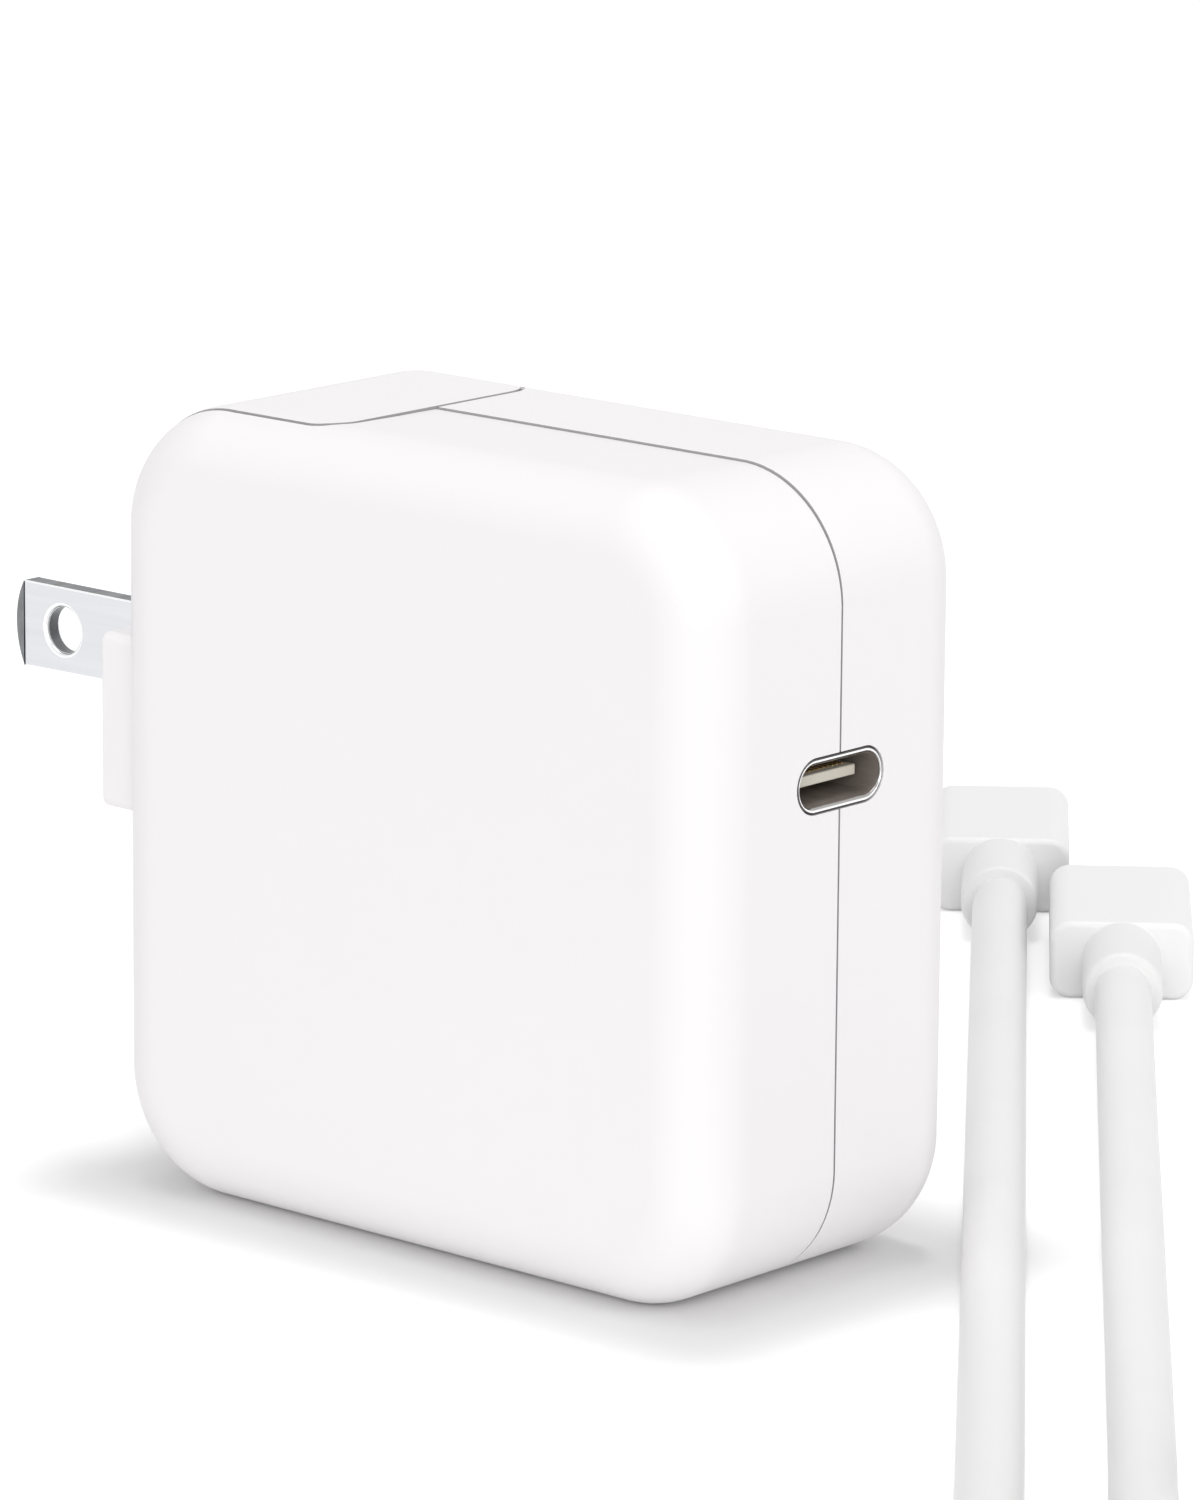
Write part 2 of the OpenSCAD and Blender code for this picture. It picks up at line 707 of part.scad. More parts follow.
module port_tongue() {
    base_x = half_w - rim_len - can_len + 2;
    color([0.86, 0.83, 0.76]) {
        along(base_x, base_x + 1.5) port_outline(port_w - 0.04, port_h - 0.04, port_z);
        block([base_x, -3.35, port_z - 0.38], [half_w - tongue_in, 3.35, port_z + 0.38]);
    }
}

// Twelve gilt strips on each side of the tongue
module port_contacts() {
    base_x = half_w - rim_len - can_len + 3.5;
    color([0.85, 0.68, 0.35]) for (k = [0:11], s = [-1, 1]) {
        y = (k - 5.5) * 0.5;
        low = s > 0 ? 0.38 : -0.44;
        block([base_x, y - 0.13, port_z + low], [half_w - tongue_in - 0.6, y + 0.13, port_z + low + 0.06]);
    }
}

// ---------- plug module ----------

// Everything that the two blades sweep, and the seat of the bar between them
module blade_room() {
    for (s = [-1, 1]) across(s * blade_y - slot_w / 2, s * blade_y + slot_w / 2) {
        translate([hinge_x, hinge_z]) circle(root_r + 0.3);
        translate([tip_x, slot_end]) square([slot_floor - tip_x, blade_top + slot_gap - slot_end]);
        translate([hinge_x, hinge_z - root_r - 0.3])
            square([block_x - hinge_x + over, 2 * root_r + 0.6]);
    }
    across(-core_half - eps, core_half + eps) {
        translate([hinge_x, hinge_z]) circle(core_r + core_gap);
        translate([hinge_x, hinge_z - core_r - core_gap])
            square([block_x - hinge_x + over, 2 * (core_r + core_gap)]);
        translate([hinge_x - core_r - core_gap, hinge_z])
            square([core_r, core_r + core_gap]);
    }
    across(-axle_end, axle_end) {
        translate([hinge_x, hinge_z]) circle(axle_r + 0.05);
        translate([hinge_x, hinge_z - axle_r - 0.05])
            square([block_x - hinge_x + over, 2 * axle_r + 0.1]);
    }
}

module plug_housing() {
    color(case_white) difference() {
        union() {
            difference() {
                intersection() {
                    outer_form();
                    translate([0, 0, module_z]) linear_extrude(plug_h) module_plan(plug_gap);
                }
                intersection() {
                    across(-module_y + plug_wall, module_y - plug_wall) translate([0, plug_wall])
                        outline(body_w - 2 * plug_wall, body_h - 2 * plug_wall, corner_r - plug_wall);
                    block([-half_w, -half_t, module_z + plug_wall], [half_w, half_t, body_h]);
                }
            }
            // Block behind the face that the blades fold into
            block([-half_w + 0.2, -block_y - 0.5, module_z + 0.2],
                [block_x, block_y + 0.5, blade_top + 1.6]);
            // Raised boss round the folded blades
            translate([-half_w + 0.4, 0, boss_low]) rotate([0, 0, -90])
                half_form(boss_w, boss_h, boss_out + 0.4, boss_r, boss_edge);
        }
        blade_room();
        // Way in for the stud's neck and head, open at the bottom
        along(module_x - cover_t, module_x + over) translate([-neck_w / 2, module_z - over])
            square([neck_w, plug_wall + 2 * over]);
        along(channel_x, module_x - cover_t) translate([-channel_w / 2, module_z - over])
            square([channel_w, plug_wall + 2 * over]);
        translate([0, 0, module_z - over]) linear_extrude(plug_wall + 2 * over) figure_eight(nose_r);
    }
}

// Inner wall of the module: a plate with the keyhole groove and the channel for the stud's head
module plug_cover() {
    z0 = module_z + plug_wall;
    color([0.90, 0.90, 0.89]) difference() {
        union() {
            intersection() {
                block([module_x - cover_t, -module_y + plug_wall, z0],
                    [module_x, module_y - plug_wall, body_h - plug_wall]);
                translate([0, 0, module_z]) linear_extrude(plug_h) module_plan(plug_gap);
            }
            block([channel_x - channel_wall, -channel_w / 2 - channel_wall, z0],
                [module_x - cover_t + eps, channel_w / 2 + channel_wall, stud_z + channel_w / 2 + channel_wall]);
        }
        along(module_x - cover_t - 2 * eps, module_x + over) {
            translate([-neck_w / 2, z0 - over]) square([neck_w, stud_z - z0 + over]);
            translate([0, stud_z]) circle(neck_w / 2);
        }
        along(channel_x, module_x - cover_t) {
            translate([-channel_w / 2, z0 - over]) square([channel_w, stud_z - z0 + over]);
            translate([0, stud_z]) circle(channel_w / 2);
        }
    }
}

// Figure-eight nose with a bore for each contact tube
module socket_nose() {
    z_mid = module_z + plug_wall;
    color([0.93, 0.93, 0.92]) difference() {
        union() {
            translate([0, 0, nose_z]) linear_extrude(z_mid - nose_z + eps) figure_eight(nose_r);
            translate([0, 0, z_mid]) linear_extrude(1.5) figure_eight(nose_r + 0.8);
        }
        for (s = [-1, 1]) translate([inlet_x, s * pin_pitch / 2, 0]) {
            translate([0, 0, nose_z - over]) cylinder(h = plug_h, r = pin_d / 2 + 0.2);
            translate([0, 0, nose_z + 1]) cylinder(h = plug_h, r = contact_r);
        }
    }
}

module socket_contacts() {
    color([0.85, 0.72, 0.42]) for (s = [-1, 1]) translate([inlet_x, s * pin_pitch / 2, 0])
        difference() {
            translate([0, 0, nose_z + 1]) cylinder(h = contact_top - nose_z - 1, r = contact_r);
            translate([0, 0, nose_z]) cylinder(h = contact_top - nose_z - 0.8, r = contact_bore);
        }
}

// Bent strips from the contact tubes to the roots of the blades
module contact_springs() {
    strip = 0.4;
    x_up = hinge_x + root_r + 0.35;
    y_in = blade_y - 1.7;
    color([0.88, 0.62, 0.38]) for (s = [-1, 1])
        across(min(s * y_in, s * (y_in + 2.6)), max(s * y_in, s * (y_in + 2.6))) {
            translate([x_up, contact_top]) square([strip, hinge_z + 3 - contact_top]);
            translate([x_up, contact_top]) square([inlet_x + 1 - x_up, strip]);
        }
}

// Wedges behind the axle ends
module axle_clips() {
    color(case_white) for (s = [-1, 1]) {
        y0 = blade_y + slot_w / 2 + 0.1;
        block([hinge_x + axle_r + 0.05, min(s * y0, s * axle_end), hinge_z - axle_r - 0.05],
            [block_x, max(s * y0, s * axle_end), hinge_z + axle_r + 0.05]);
    }
}

// Flat spring behind the bar, held in the sides of its seat
module detent_spring() {
    x = hinge_x + core_r + 0.3;
    color([0.72, 0.73, 0.75])
        block([x, -2.5, hinge_z - core_r - core_gap], [x + 0.35, 2.5, hinge_z + core_r + core_gap]);
}

// A flat blade: rounded and bevelled tip, hole, broken edges and a round root on the hinge
module blade(y) {
    tip_round = 1.2;
    tip_arc = (pow(blade_w / 2, 2) + pow(tip_round, 2)) / (2 * tip_round);
    chamfer = 0.15;
    color(pin_metal) difference() {
        intersection() {
            across(y - blade_t / 2, y + blade_t / 2) {
                intersection() {
                    translate([tip_x, blade_low]) square([hinge_x - tip_x, blade_w]);
                    translate([tip_x + tip_arc, blade_z]) union() {
                        circle(tip_arc);
                        translate([-tip_arc + tip_round, -blade_w / 2])
                            square([hinge_x - tip_x - tip_round + over, blade_w]);
                    }
                }
                translate([hinge_x, hinge_z]) circle(root_r);
            }
            along(tip_x - over, hinge_x + root_r + over) translate([y, 0])
                polygon([[-blade_t / 2, 0], [blade_t / 2, 0],
                    [blade_t / 2, blade_top - chamfer], [blade_t / 2 - chamfer, blade_top],
                    [-blade_t / 2 + chamfer, blade_top], [-blade_t / 2, blade_top - chamfer]]);
            translate([0, 0, blade_low - root_r]) linear_extrude(blade_w + 2 * root_r)
                polygon([[tip_x, y - 0.35], [tip_x + tip_round, y - blade_t / 2],
                    [hinge_x + root_r + over, y - blade_t / 2], [hinge_x + root_r + over, y + blade_t / 2],
                    [tip_x + tip_round, y + blade_t / 2], [tip_x, y + 0.35]]);
        }
        across(y - blade_t, y + blade_t) {
            translate([tip_x + blade_hole_in, blade_z]) circle(blade_hole_d / 2);
            translate([hinge_x, hinge_z]) circle(axle_r);
        }
    }
}

module front_blade() blade(-blade_y);
module back_blade() blade(blade_y);

// Bar between the blades, with the axle that runs through them
module blade_carrier() {
    color([0.92, 0.92, 0.91]) translate([hinge_x, 0, hinge_z]) {
        across(-core_half, core_half) circle(core_r);
        across(-axle_end + 0.05, axle_end - 0.05) circle(axle_r);
    }
}

// ---------- loose cable ----------

// Everything of the cable is drawn in its own floor frame, turned by cable_yaw
tip_a = [32.8, 116.9];
tip_b = [42.4, 89.7];
plug_len = shell_len + grip_len + sleeve_len;
rest_z = cable_d / 2;
coil_centre = [90, -98];
coil_r = 31;
coil_steps = 24;
layer_turns = 2.25;
coil_layers = 4;
coil_lift = 0.6;
outer_gap = coil_pitch + 0.1;
outer_turn = 0.75;
outer_widens = 0.2;
coil_from = -135;
coil_heading = [-sin(coil_from), cos(coil_from), 0];
coil_entry = [coil_centre[0], coil_centre[1], rest_z + coil_lift]
    + coil_r * [cos(coil_from), sin(coil_from), 0] - cable_d * coil_heading;

// Each lead starts straight out of its sleeve, comes down to the floor and ends at the coil
function lead_start(tip) = [
    [tip[0], tip[1] - plug_len, grip_t / 2],
    [tip[0], tip[1] - plug_len - cable_d, grip_t / 2],
    [tip[0], tip[1] - plug_len - 14, grip_t / 2 - 0.3],
    [tip[0], tip[1] - plug_len - 24, rest_z + 0.2],
    [tip[0], tip[1] - plug_len - 35, rest_z]];
lead_a_path = concat(lead_start(tip_a), [
    [32.8, 32, rest_z], [32.8, 18, rest_z], [32.8, 4, rest_z], [32.8, -10, rest_z],
    [32.8, -24, rest_z], [32.8, -38, rest_z], [32.8, -52, rest_z], [32.8, -63, rest_z],
    [32.8, -73, rest_z], [33.3, -78.5, rest_z], [34.9, -83.7, rest_z], [37.5, -88.6, rest_z],
    [41, -92.8, rest_z], coil_entry - 22 * coil_heading - [0, 0, coil_lift],
    coil_entry - 11 * coil_heading - [0, 0, coil_lift / 2], coil_entry]);
lead_b_path = concat(lead_start(tip_b), [
    [42.4, 6, rest_z], [42.4, -8, rest_z], [42.4, -22, rest_z], [42.4, -36, rest_z],
    [42.4, -50, rest_z], [42.4, -60, rest_z], [42.4, -67.8, rest_z], [43.2, -72, rest_z],
    [45.7, -75.7, rest_z], [49.3, -78.1, rest_z], [53.5, -78.9, rest_z], [57.8, -78.1, rest_z],
    [61.4, -75.7, rest_z]]);

function unit(v) = v / norm(v);
function part_of(x) = min(max(x, 0), 1);
function smooth(x) = pow(part_of(x), 2) * (3 - 2 * part_of(x));

// Winds in and out by turns, one layer on another, climbing where it turns back
function layer_point(t) =
    let (r = coil_r - coil_pitch * abs(t - 2 * layer_turns * round(t / (2 * layer_turns))),
        up = [for (k = [1:coil_layers - 1]) smooth((t - k * layer_turns) / 0.5 + 0.5)])
    [r * cos(360 * t + coil_from), r * sin(360 * t + coil_from), coil_pitch * (up * [1, 1, 1])];

// The last turn widens, then comes down outside the others to the floor
function outer_point(s) =
    let (r = coil_r + outer_gap * smooth(s / outer_widens),
        up = 1 - smooth((s - outer_widens) / (outer_turn - outer_widens)))
    [r * cos(360 * s + coil_from), r * sin(360 * s + coil_from),
        ((coil_layers - 1) * coil_pitch + coil_lift) * up - coil_lift];

coil_turns = coil_layers * layer_turns;
coil_end = outer_point(outer_turn);
coil_out = [-sin(360 * outer_turn + coil_from), cos(360 * outer_turn + coil_from), 0];
coil_start = [coil_centre[0], coil_centre[1], rest_z + coil_lift];
coil_path = [
    for (p = concat([coil_entry - coil_start],
        [for (i = [0:coil_turns * coil_steps - 1]) layer_point(i / coil_steps)],
        [for (i = [0:outer_turn * coil_steps]) outer_point(i / coil_steps)],
        [coil_end + cable_d * coil_out])) coil_start + p];

// Least free gap between one turn and the next ones
function apart(path, i) =
    min([for (j = [i + round(coil_steps / 2):len(path) - 1]) norm(path[j] - path[i])]);
coil_gap = min([for (i = [0:len(coil_path) - 1 - coil_steps]) apart(coil_path, i)]) - cable_d;
echo(coil_gap = coil_gap);

function heading(path, i) =
    unit(path[min(i + 1, len(path) - 1)] - path[max(i - 1, 0)]);
function ring(p, t, r, sides) =
    let (side = unit(cross(t, [0, 0, 1])), up = cross(side, t))
    [for (k = [0:sides - 1])
        p + r * (cos(360 * (k + 0.5) / sides) * side + sin(360 * (k + 0.5) / sides) * up)];

// One closed tube along a path of points
module tube(path, r, sides) {
    n = len(path);
    points = [for (i = [0:n - 1]) each ring(path[i], heading(path, i), r, sides)];
    walls = [for (i = [0:n - 2], k = [0:sides - 1])
        let (a = i * sides + k, b = i * sides + (k + 1) % sides)
        each [[a, b, a + sides], [b, b + sides, a + sides]]];
    ends = [for (k = [1:sides - 2])
        each [[0, k + 1, k], [(n - 1) * sides, (n - 1) * sides + k, (n - 1) * sides + k + 1]]];
    polyhedron(points, concat(walls, ends), convexity = 10);
}

module in_cable_frame() {
    rotate([0, 0, cable_yaw]) children();
}

// Puts a plug that points along +y, with its tip at the origin, where it lies
module at_plug(tip) {
    in_cable_frame() translate([tip[0], tip[1], grip_t / 2]) children();
}

// Slot outline lying flat, w wide in x and h high in z
module flat_outline(w, h) {
    for (x = [-1, 1]) translate([x * (w - h) / 2, 0]) circle(h / 2);
    square([w - h, h], center = true);
}

module plug_shell() {
    color([0.83, 0.83, 0.84]) difference() {
        across(-shell_len - 1.2, 0) flat_outline(shell_w, shell_t);
        across(-shell_len - 0.4, over) flat_outline(shell_w - 0.5, shell_t - 0.5);
    }
}

module plug_grip() {
    r = 1.6;
    color(case_white) difference() {
        across(-shell_len - grip_len, -shell_len) translate([0, -grip_t / 2])
            outline(grip_w, grip_t, r);
        across(-shell_len - 1.2, over) flat_outline(shell_w, shell_t);
    }
}

module plug_sleeve() {
    y0 = -shell_len - grip_len;
    color(case_white) rotate([90, 0, 0]) translate([0, 0, -y0]) {
        cylinder(h = sleeve_len - 0.6, r = sleeve_d / 2);
        translate([0, 0, sleeve_len - 0.6]) cylinder(h = 0.6, r1 = sleeve_d / 2, r2 = sleeve_d / 2 - 0.5);
    }
}

module plug_a_shell() at_plug(tip_a) plug_shell();
module plug_a_grip() at_plug(tip_a) plug_grip();
module plug_a_sleeve() at_plug(tip_a) plug_sleeve();
module plug_b_shell() at_plug(tip_b) plug_shell();
module plug_b_grip() at_plug(tip_b) plug_grip();
module plug_b_sleeve() at_plug(tip_b) plug_sleeve();

module cable_lead_a() {
    color(case_white) in_cable_frame() tube(lead_a_path, cable_d / 2, 8);
}

module cable_lead_b() {
    color(case_white) in_cable_frame() tube(lead_b_path, cable_d / 2, 8);
}

module cable_coil() {
    color(case_white) in_cable_frame() tube(coil_path, cable_d / 2, 6);
}

// Strap round the bundle of turns, where the outer turn has come down and left
module cable_tie() {
    tie_t = 0.5;
    clear = 0.4;
    r0 = coil_r - coil_pitch * layer_turns - cable_d / 2 - clear;
    r1 = coil_r + cable_d / 2 + clear;
    top = coil_lift + coil_pitch * (coil_layers - 1) + cable_d + clear;
    color([0.95, 0.95, 0.95]) in_cable_frame() translate(coil_centre)
        rotate([0, 0, 170]) rotate([90, 0, 0]) linear_extrude(6, center = true) difference() {
            translate([(r0 + r1) / 2, 0]) outline(r1 - r0 + 2 * tie_t, top + tie_t, 2);
            translate([(r0 + r1) / 2, tie_t]) outline(r1 - r0, top - tie_t, 1.4);
        }
}

front_shell();
back_shell();
main_board();
insulating_film();
heat_spreader();
thermal_pad();
inlet_well();
inlet_pins();
ground_stud();
stud_nut();
fuse();
choke_core();
choke_windings();
x_capacitor();
bridge_rectifier();
bulk_capacitor_a();
bulk_capacitor_b();
bulk_capacitor_c();
primary_switch();
switch_heatsink();
transformer_core();
transformer_bobbin();
transformer_winding();
y_capacitor();
primary_controller();
optocoupler();
sync_rectifier();
output_capacitor_a();
output_capacitor_b();
port_board();
output_choke();
power_controller();
port_shell();
port_tongue();
port_contacts();
plug_housing();
plug_cover();
socket_nose();
socket_contacts();
contact_springs();
axle_clips();
detent_spring();
front_blade();
back_blade();
blade_carrier();
plug_a_shell();
plug_a_grip();
plug_a_sleeve();
plug_b_shell();
plug_b_grip();
plug_b_sleeve();
cable_lead_a();
cable_lead_b();
cable_coil();
cable_tie();
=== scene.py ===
# %% [markdown]
# A wall adapter stands on a pale table with its loose cable beside it. The solids come from the
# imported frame. This lesson gives them their looks: it keeps the plain inner parts, makes the
# parts that are seen again with soft edges, and finishes every surface.

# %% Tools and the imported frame
import math

import bmesh
import bpy
from mathutils import Matrix, Vector


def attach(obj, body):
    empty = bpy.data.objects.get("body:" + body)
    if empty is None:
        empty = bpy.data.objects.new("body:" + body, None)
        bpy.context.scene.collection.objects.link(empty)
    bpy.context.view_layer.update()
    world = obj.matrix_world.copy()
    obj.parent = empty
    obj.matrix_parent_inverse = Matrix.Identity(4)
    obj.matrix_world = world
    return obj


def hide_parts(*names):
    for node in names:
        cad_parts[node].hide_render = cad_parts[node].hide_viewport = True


MM = 0.001
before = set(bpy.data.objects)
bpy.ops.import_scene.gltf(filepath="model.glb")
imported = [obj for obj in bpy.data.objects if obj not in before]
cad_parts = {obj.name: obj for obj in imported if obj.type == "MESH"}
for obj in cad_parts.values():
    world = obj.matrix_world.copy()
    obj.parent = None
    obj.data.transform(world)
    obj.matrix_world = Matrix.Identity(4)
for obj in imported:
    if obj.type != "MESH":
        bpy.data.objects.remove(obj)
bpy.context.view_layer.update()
print("solids:", len(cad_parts))

# %% [markdown]
# A product view comes from a long lens a little above the object. The camera looks from the
# front right, about forty degrees round and thirteen up, from a little over half a metre. Its
# place could be typed in, but it is worked out from those angles, so that each number can be
# changed on its own.

# %% Camera
AZIMUTH, ELEVATION, ROLL = map(math.radians, (41.472, 12.967, 0.434))
DISTANCE = 549.832
AIM_RIGHT, AIM_UP = 4.779, 33.902
LENS, SENSOR = 189.5, 36

back = Vector((math.sin(AZIMUTH) * math.cos(ELEVATION),
               -math.cos(AZIMUTH) * math.cos(ELEVATION), math.sin(ELEVATION)))
level = Vector((math.cos(AZIMUTH), math.sin(AZIMUTH), 0))
upward = back.cross(level)
right = level * math.cos(ROLL) + upward * math.sin(ROLL)
top = upward * math.cos(ROLL) - level * math.sin(ROLL)
aim = AIM_RIGHT * level + Vector((0, 0, AIM_UP))

lens = bpy.data.cameras.new("camera")
lens.lens, lens.sensor_width, lens.sensor_fit = LENS, SENSOR, "AUTO"
lens.clip_start, lens.clip_end = 0.01, 20
camera = bpy.data.objects.new("camera", lens)
bpy.context.scene.collection.objects.link(camera)
camera.matrix_world = (Matrix.Translation((aim + DISTANCE * back) * MM)
                       @ Matrix((right, top, back)).transposed().to_4x4())
bpy.context.scene.camera = camera
print("camera at", [round(v / MM, 1) for v in camera.matrix_world.translation], "mm")

# %% [markdown]
# Materials are built from nodes. A few short helpers keep that readable: one starts a node
# group with its sockets, one adds a node, one links pairs of sockets, and one stretches a
# noise, whose values crowd round the middle, over a range of our own.

# %% Helpers for nodes
def new_group(name, inputs, outputs):
    """A node group with its sockets, and the nodes that stand for its two ends."""
    group = bpy.data.node_groups.new(name, "ShaderNodeTree")
    for label, kind, value in inputs:
        socket = group.interface.new_socket(label, in_out="INPUT", socket_type=kind)
        if value is not None:
            socket.default_value = value
    for label, kind in outputs:
        group.interface.new_socket(label, in_out="OUTPUT", socket_type=kind)
    nodes = group.nodes
    return group, nodes.new("NodeGroupInput"), nodes.new("NodeGroupOutput")


def add(tree, kind, values=None, **settings):
    node = tree.nodes.new("ShaderNode" + kind)
    for key, value in settings.items():
        setattr(node, key, value)
    for key, value in (values or {}).items():
        node.inputs[key].default_value = value
    return node


def join(tree, *pairs):
    for source, target in pairs:
        tree.links.new(source, target)


def feed(tree, source, target):
    """Sets a socket to a number, or links another node's output to it."""
    if isinstance(source, (int, float)):
        target.default_value = source
    else:
        join(tree, (source, target))


def spread(tree, source, low, high):
    """Stretches a noise of about 0.3 to 0.7 over the range from low to high."""
    node = add(tree, "MapRange", {"From Min": 0.3, "From Max": 0.7})
    feed(tree, source, node.inputs["Value"])
    feed(tree, low, node.inputs["To Min"])
    feed(tree, high, node.inputs["To Max"])
    return node.outputs["Result"]


print("helpers for nodes:", [f.__name__ for f in (new_group, add, join, feed, spread)])

# %% [markdown]
# Two effects are shared by many finishes, so each is a node group. Fine grain gives the low
# bumps and the uneven gloss of moulded or etched surfaces. Drawn lines give the long scratches
# of rolled and polished metal. An image texture could do both, but noise needs no unwrapping
# and stays sharp close up. It reads the piece's own coordinates, so it stays in place when a
# part moves.

# %% Shared effects
def make_fine_grain():
    group, given, made = new_group(
        "fine_grain",
        [("Vector", "NodeSocketVector", None), ("Colour", "NodeSocketColor", (1, 1, 1, 1)),
         ("Grain per mm", "NodeSocketFloat", 5.0), ("Drift", "NodeSocketFloat", 0.01),
         ("Matt", "NodeSocketFloat", 0.3), ("Matter", "NodeSocketFloat", 0.36)],
        [("Colour", "NodeSocketColor"), ("Roughness", "NodeSocketFloat"),
         ("Height", "NodeSocketFloat")])
    per_metre = add(group, "Math", {1: 1000.0}, operation="MULTIPLY")
    grain = add(group, "TexNoise", {"Detail": 2.0, "Roughness": 0.55})
    patches = add(group, "TexNoise", {"Scale": 90.0, "Detail": 3.0})
    darker = add(group, "Math", {0: 1.0}, operation="SUBTRACT")
    tone = add(group, "MixRGB", {"Fac": 1.0}, blend_type="MULTIPLY")
    join(group,
         (given.outputs["Grain per mm"], per_metre.inputs[0]),
         (per_metre.outputs[0], grain.inputs["Scale"]),
         (given.outputs["Vector"], grain.inputs["Vector"]),
         (given.outputs["Vector"], patches.inputs["Vector"]),
         (spread(group, patches.outputs["Fac"], 0.0, given.outputs["Drift"]), darker.inputs[1]),
         (given.outputs["Colour"], tone.inputs["Color1"]),
         (darker.outputs[0], tone.inputs["Color2"]),
         (tone.outputs["Color"], made.inputs["Colour"]),
         (spread(group, patches.outputs["Fac"], given.outputs["Matt"], given.outputs["Matter"]),
          made.inputs["Roughness"]),
         (grain.outputs["Fac"], made.inputs["Height"]))
    return group


def make_drawn_lines():
    group, given, made = new_group(
        "drawn_lines",
        [("Vector", "NodeSocketVector", None), ("Colour", "NodeSocketColor", (1, 1, 1, 1)),
         ("Along", "NodeSocketVector", (1.0, 1.0, 1.0)), ("Drift", "NodeSocketFloat", 0.05),
         ("Matt", "NodeSocketFloat", 0.2), ("Matter", "NodeSocketFloat", 0.35)],
        [("Colour", "NodeSocketColor"), ("Roughness", "NodeSocketFloat"),
         ("Height", "NodeSocketFloat")])
    stretch = add(group, "VectorMath", operation="MULTIPLY")
    lines = add(group, "TexNoise", {"Scale": 1000.0, "Detail": 3.0, "Roughness": 0.6})
    darker = add(group, "Math", {0: 1.0}, operation="SUBTRACT")
    tone = add(group, "MixRGB", {"Fac": 1.0}, blend_type="MULTIPLY")
    join(group,
         (given.outputs["Vector"], stretch.inputs[0]), (given.outputs["Along"], stretch.inputs[1]),
         (stretch.outputs["Vector"], lines.inputs["Vector"]),
         (spread(group, lines.outputs["Fac"], 0.0, given.outputs["Drift"]), darker.inputs[1]),
         (given.outputs["Colour"], tone.inputs["Color1"]),
         (darker.outputs[0], tone.inputs["Color2"]),
         (tone.outputs["Color"], made.inputs["Colour"]),
         (spread(group, lines.outputs["Fac"], given.outputs["Matt"], given.outputs["Matter"]),
          made.inputs["Roughness"]),
         (lines.outputs["Fac"], made.inputs["Height"]))
    return group


EFFECTS = {"grain": make_fine_grain(), "lines": make_drawn_lines()}
print("shared effects:", [g.name for g in EFFECTS.values()])

# %% [markdown]
# The case is glossy white plastic from a polished mould, so its bumps are far too low to see
# one by one and only soften the highlights. Metal is told apart by its gloss: the blades are
# nickel with drawn lines, the port's rim is polished, the springs are duller. Each could have
# a node tree of its own, but one recipe makes them all and each finish is one call of it.

# %% Recipe for a finish
def finish(name, colour, effect="grain", metal=0.0, matt=(0.3, 0.36), drift=0.01, size=5.0,
           along=(1, 1, 1), bump=0.004, **extra):
    material = bpy.data.materials.new(name)
    material.use_nodes = True
    tree = material.node_tree
    shader = tree.nodes["Principled BSDF"]
    shader.inputs["Metallic"].default_value = metal
    for key, value in extra.items():
        shader.inputs[key.replace("_", " ")].default_value = value
    place = add(tree, "TexCoord")
    look = add(tree, "Group", node_tree=EFFECTS[effect])
    look.inputs["Colour"].default_value = (*colour, 1)
    look.inputs["Drift"].default_value = drift
    look.inputs["Matt"].default_value, look.inputs["Matter"].default_value = matt
    if effect == "grain":
        look.inputs["Grain per mm"].default_value = size
    else:
        look.inputs["Along"].default_value = along
    relief = add(tree, "Bump", {"Strength": 1.0, "Distance": bump * MM})
    join(tree,
         (place.outputs["Object"], look.inputs["Vector"]),
         (look.outputs["Colour"], shader.inputs["Base Color"]),
         (look.outputs["Roughness"], shader.inputs["Roughness"]),
         (look.outputs["Height"], relief.inputs["Height"]),
         (relief.outputs["Normal"], shader.inputs["Normal"]))
    material.diffuse_color = (*colour, 1)
    return material


print("recipe ready, with", len(EFFECTS), "effects to choose from")

# %% [markdown]
# The parts in view need few finishes: four whites that differ a little in tone and gloss, the
# painted shade of the seams, the metals and the beige of the port's tongue. Plastic in a narrow
# gap is dark with shade, so the seam's faces are painted a plain matt grey as that shade. A
# blade has three finishes, for its rolled faces, its shorn faces painted darker as shade and the
# bevel between them painted bright as a highlight, and the port has four, from its polished
# crest, painted bright as a highlight, to its inside, painted dim as shade.

# %% Finishes of the parts in view
case_white = finish("case_white", (0.935, 0.915, 0.925), matt=(0.36, 0.4), drift=0.002,
                    size=1.5, bump=0.0004, Specular_IOR_Level=0.35)
# The seams' grey is painted shade: the dark of a narrow gap put into the colour.
seam_shade = finish("seam_shade", (0.44, 0.43, 0.435), matt=(0.6, 0.7), drift=0.05)
grip_white = finish("grip_white", (0.925, 0.925, 0.925), matt=(0.36, 0.4), drift=0.002,
                    size=1.5, bump=0.0004, Specular_IOR_Level=0.35)
inner_white = finish("inner_white", (0.86, 0.855, 0.85), matt=(0.38, 0.46), drift=0.02)
blade_nickel = finish("blade_nickel", (0.72, 0.727, 0.75), effect="lines", metal=1.0,
                      matt=(0.26, 0.4), drift=0.06, along=(0.03, 1, 1), bump=0.002)
# The shorn faces are the nickel painted darker as shade, and the bevel is painted bright as a
# highlight.
blade_shorn_shade = finish("blade_shorn_shade", (0.20, 0.205, 0.215), effect="lines", metal=1.0,
                     matt=(0.35, 0.5), drift=0.1, along=(1, 0.05, 1), bump=0.004)
edge_highlight = finish("edge_highlight", (0.96, 0.96, 0.97), effect="lines", metal=1.0,
                     matt=(0.15, 0.25), drift=0.02, bump=0.001)
port_steel = finish("port_steel", (0.44, 0.43, 0.42), effect="lines", metal=1.0,
                    matt=(0.12, 0.22), drift=0.05, along=(0.2, 1, 1), bump=0.001)
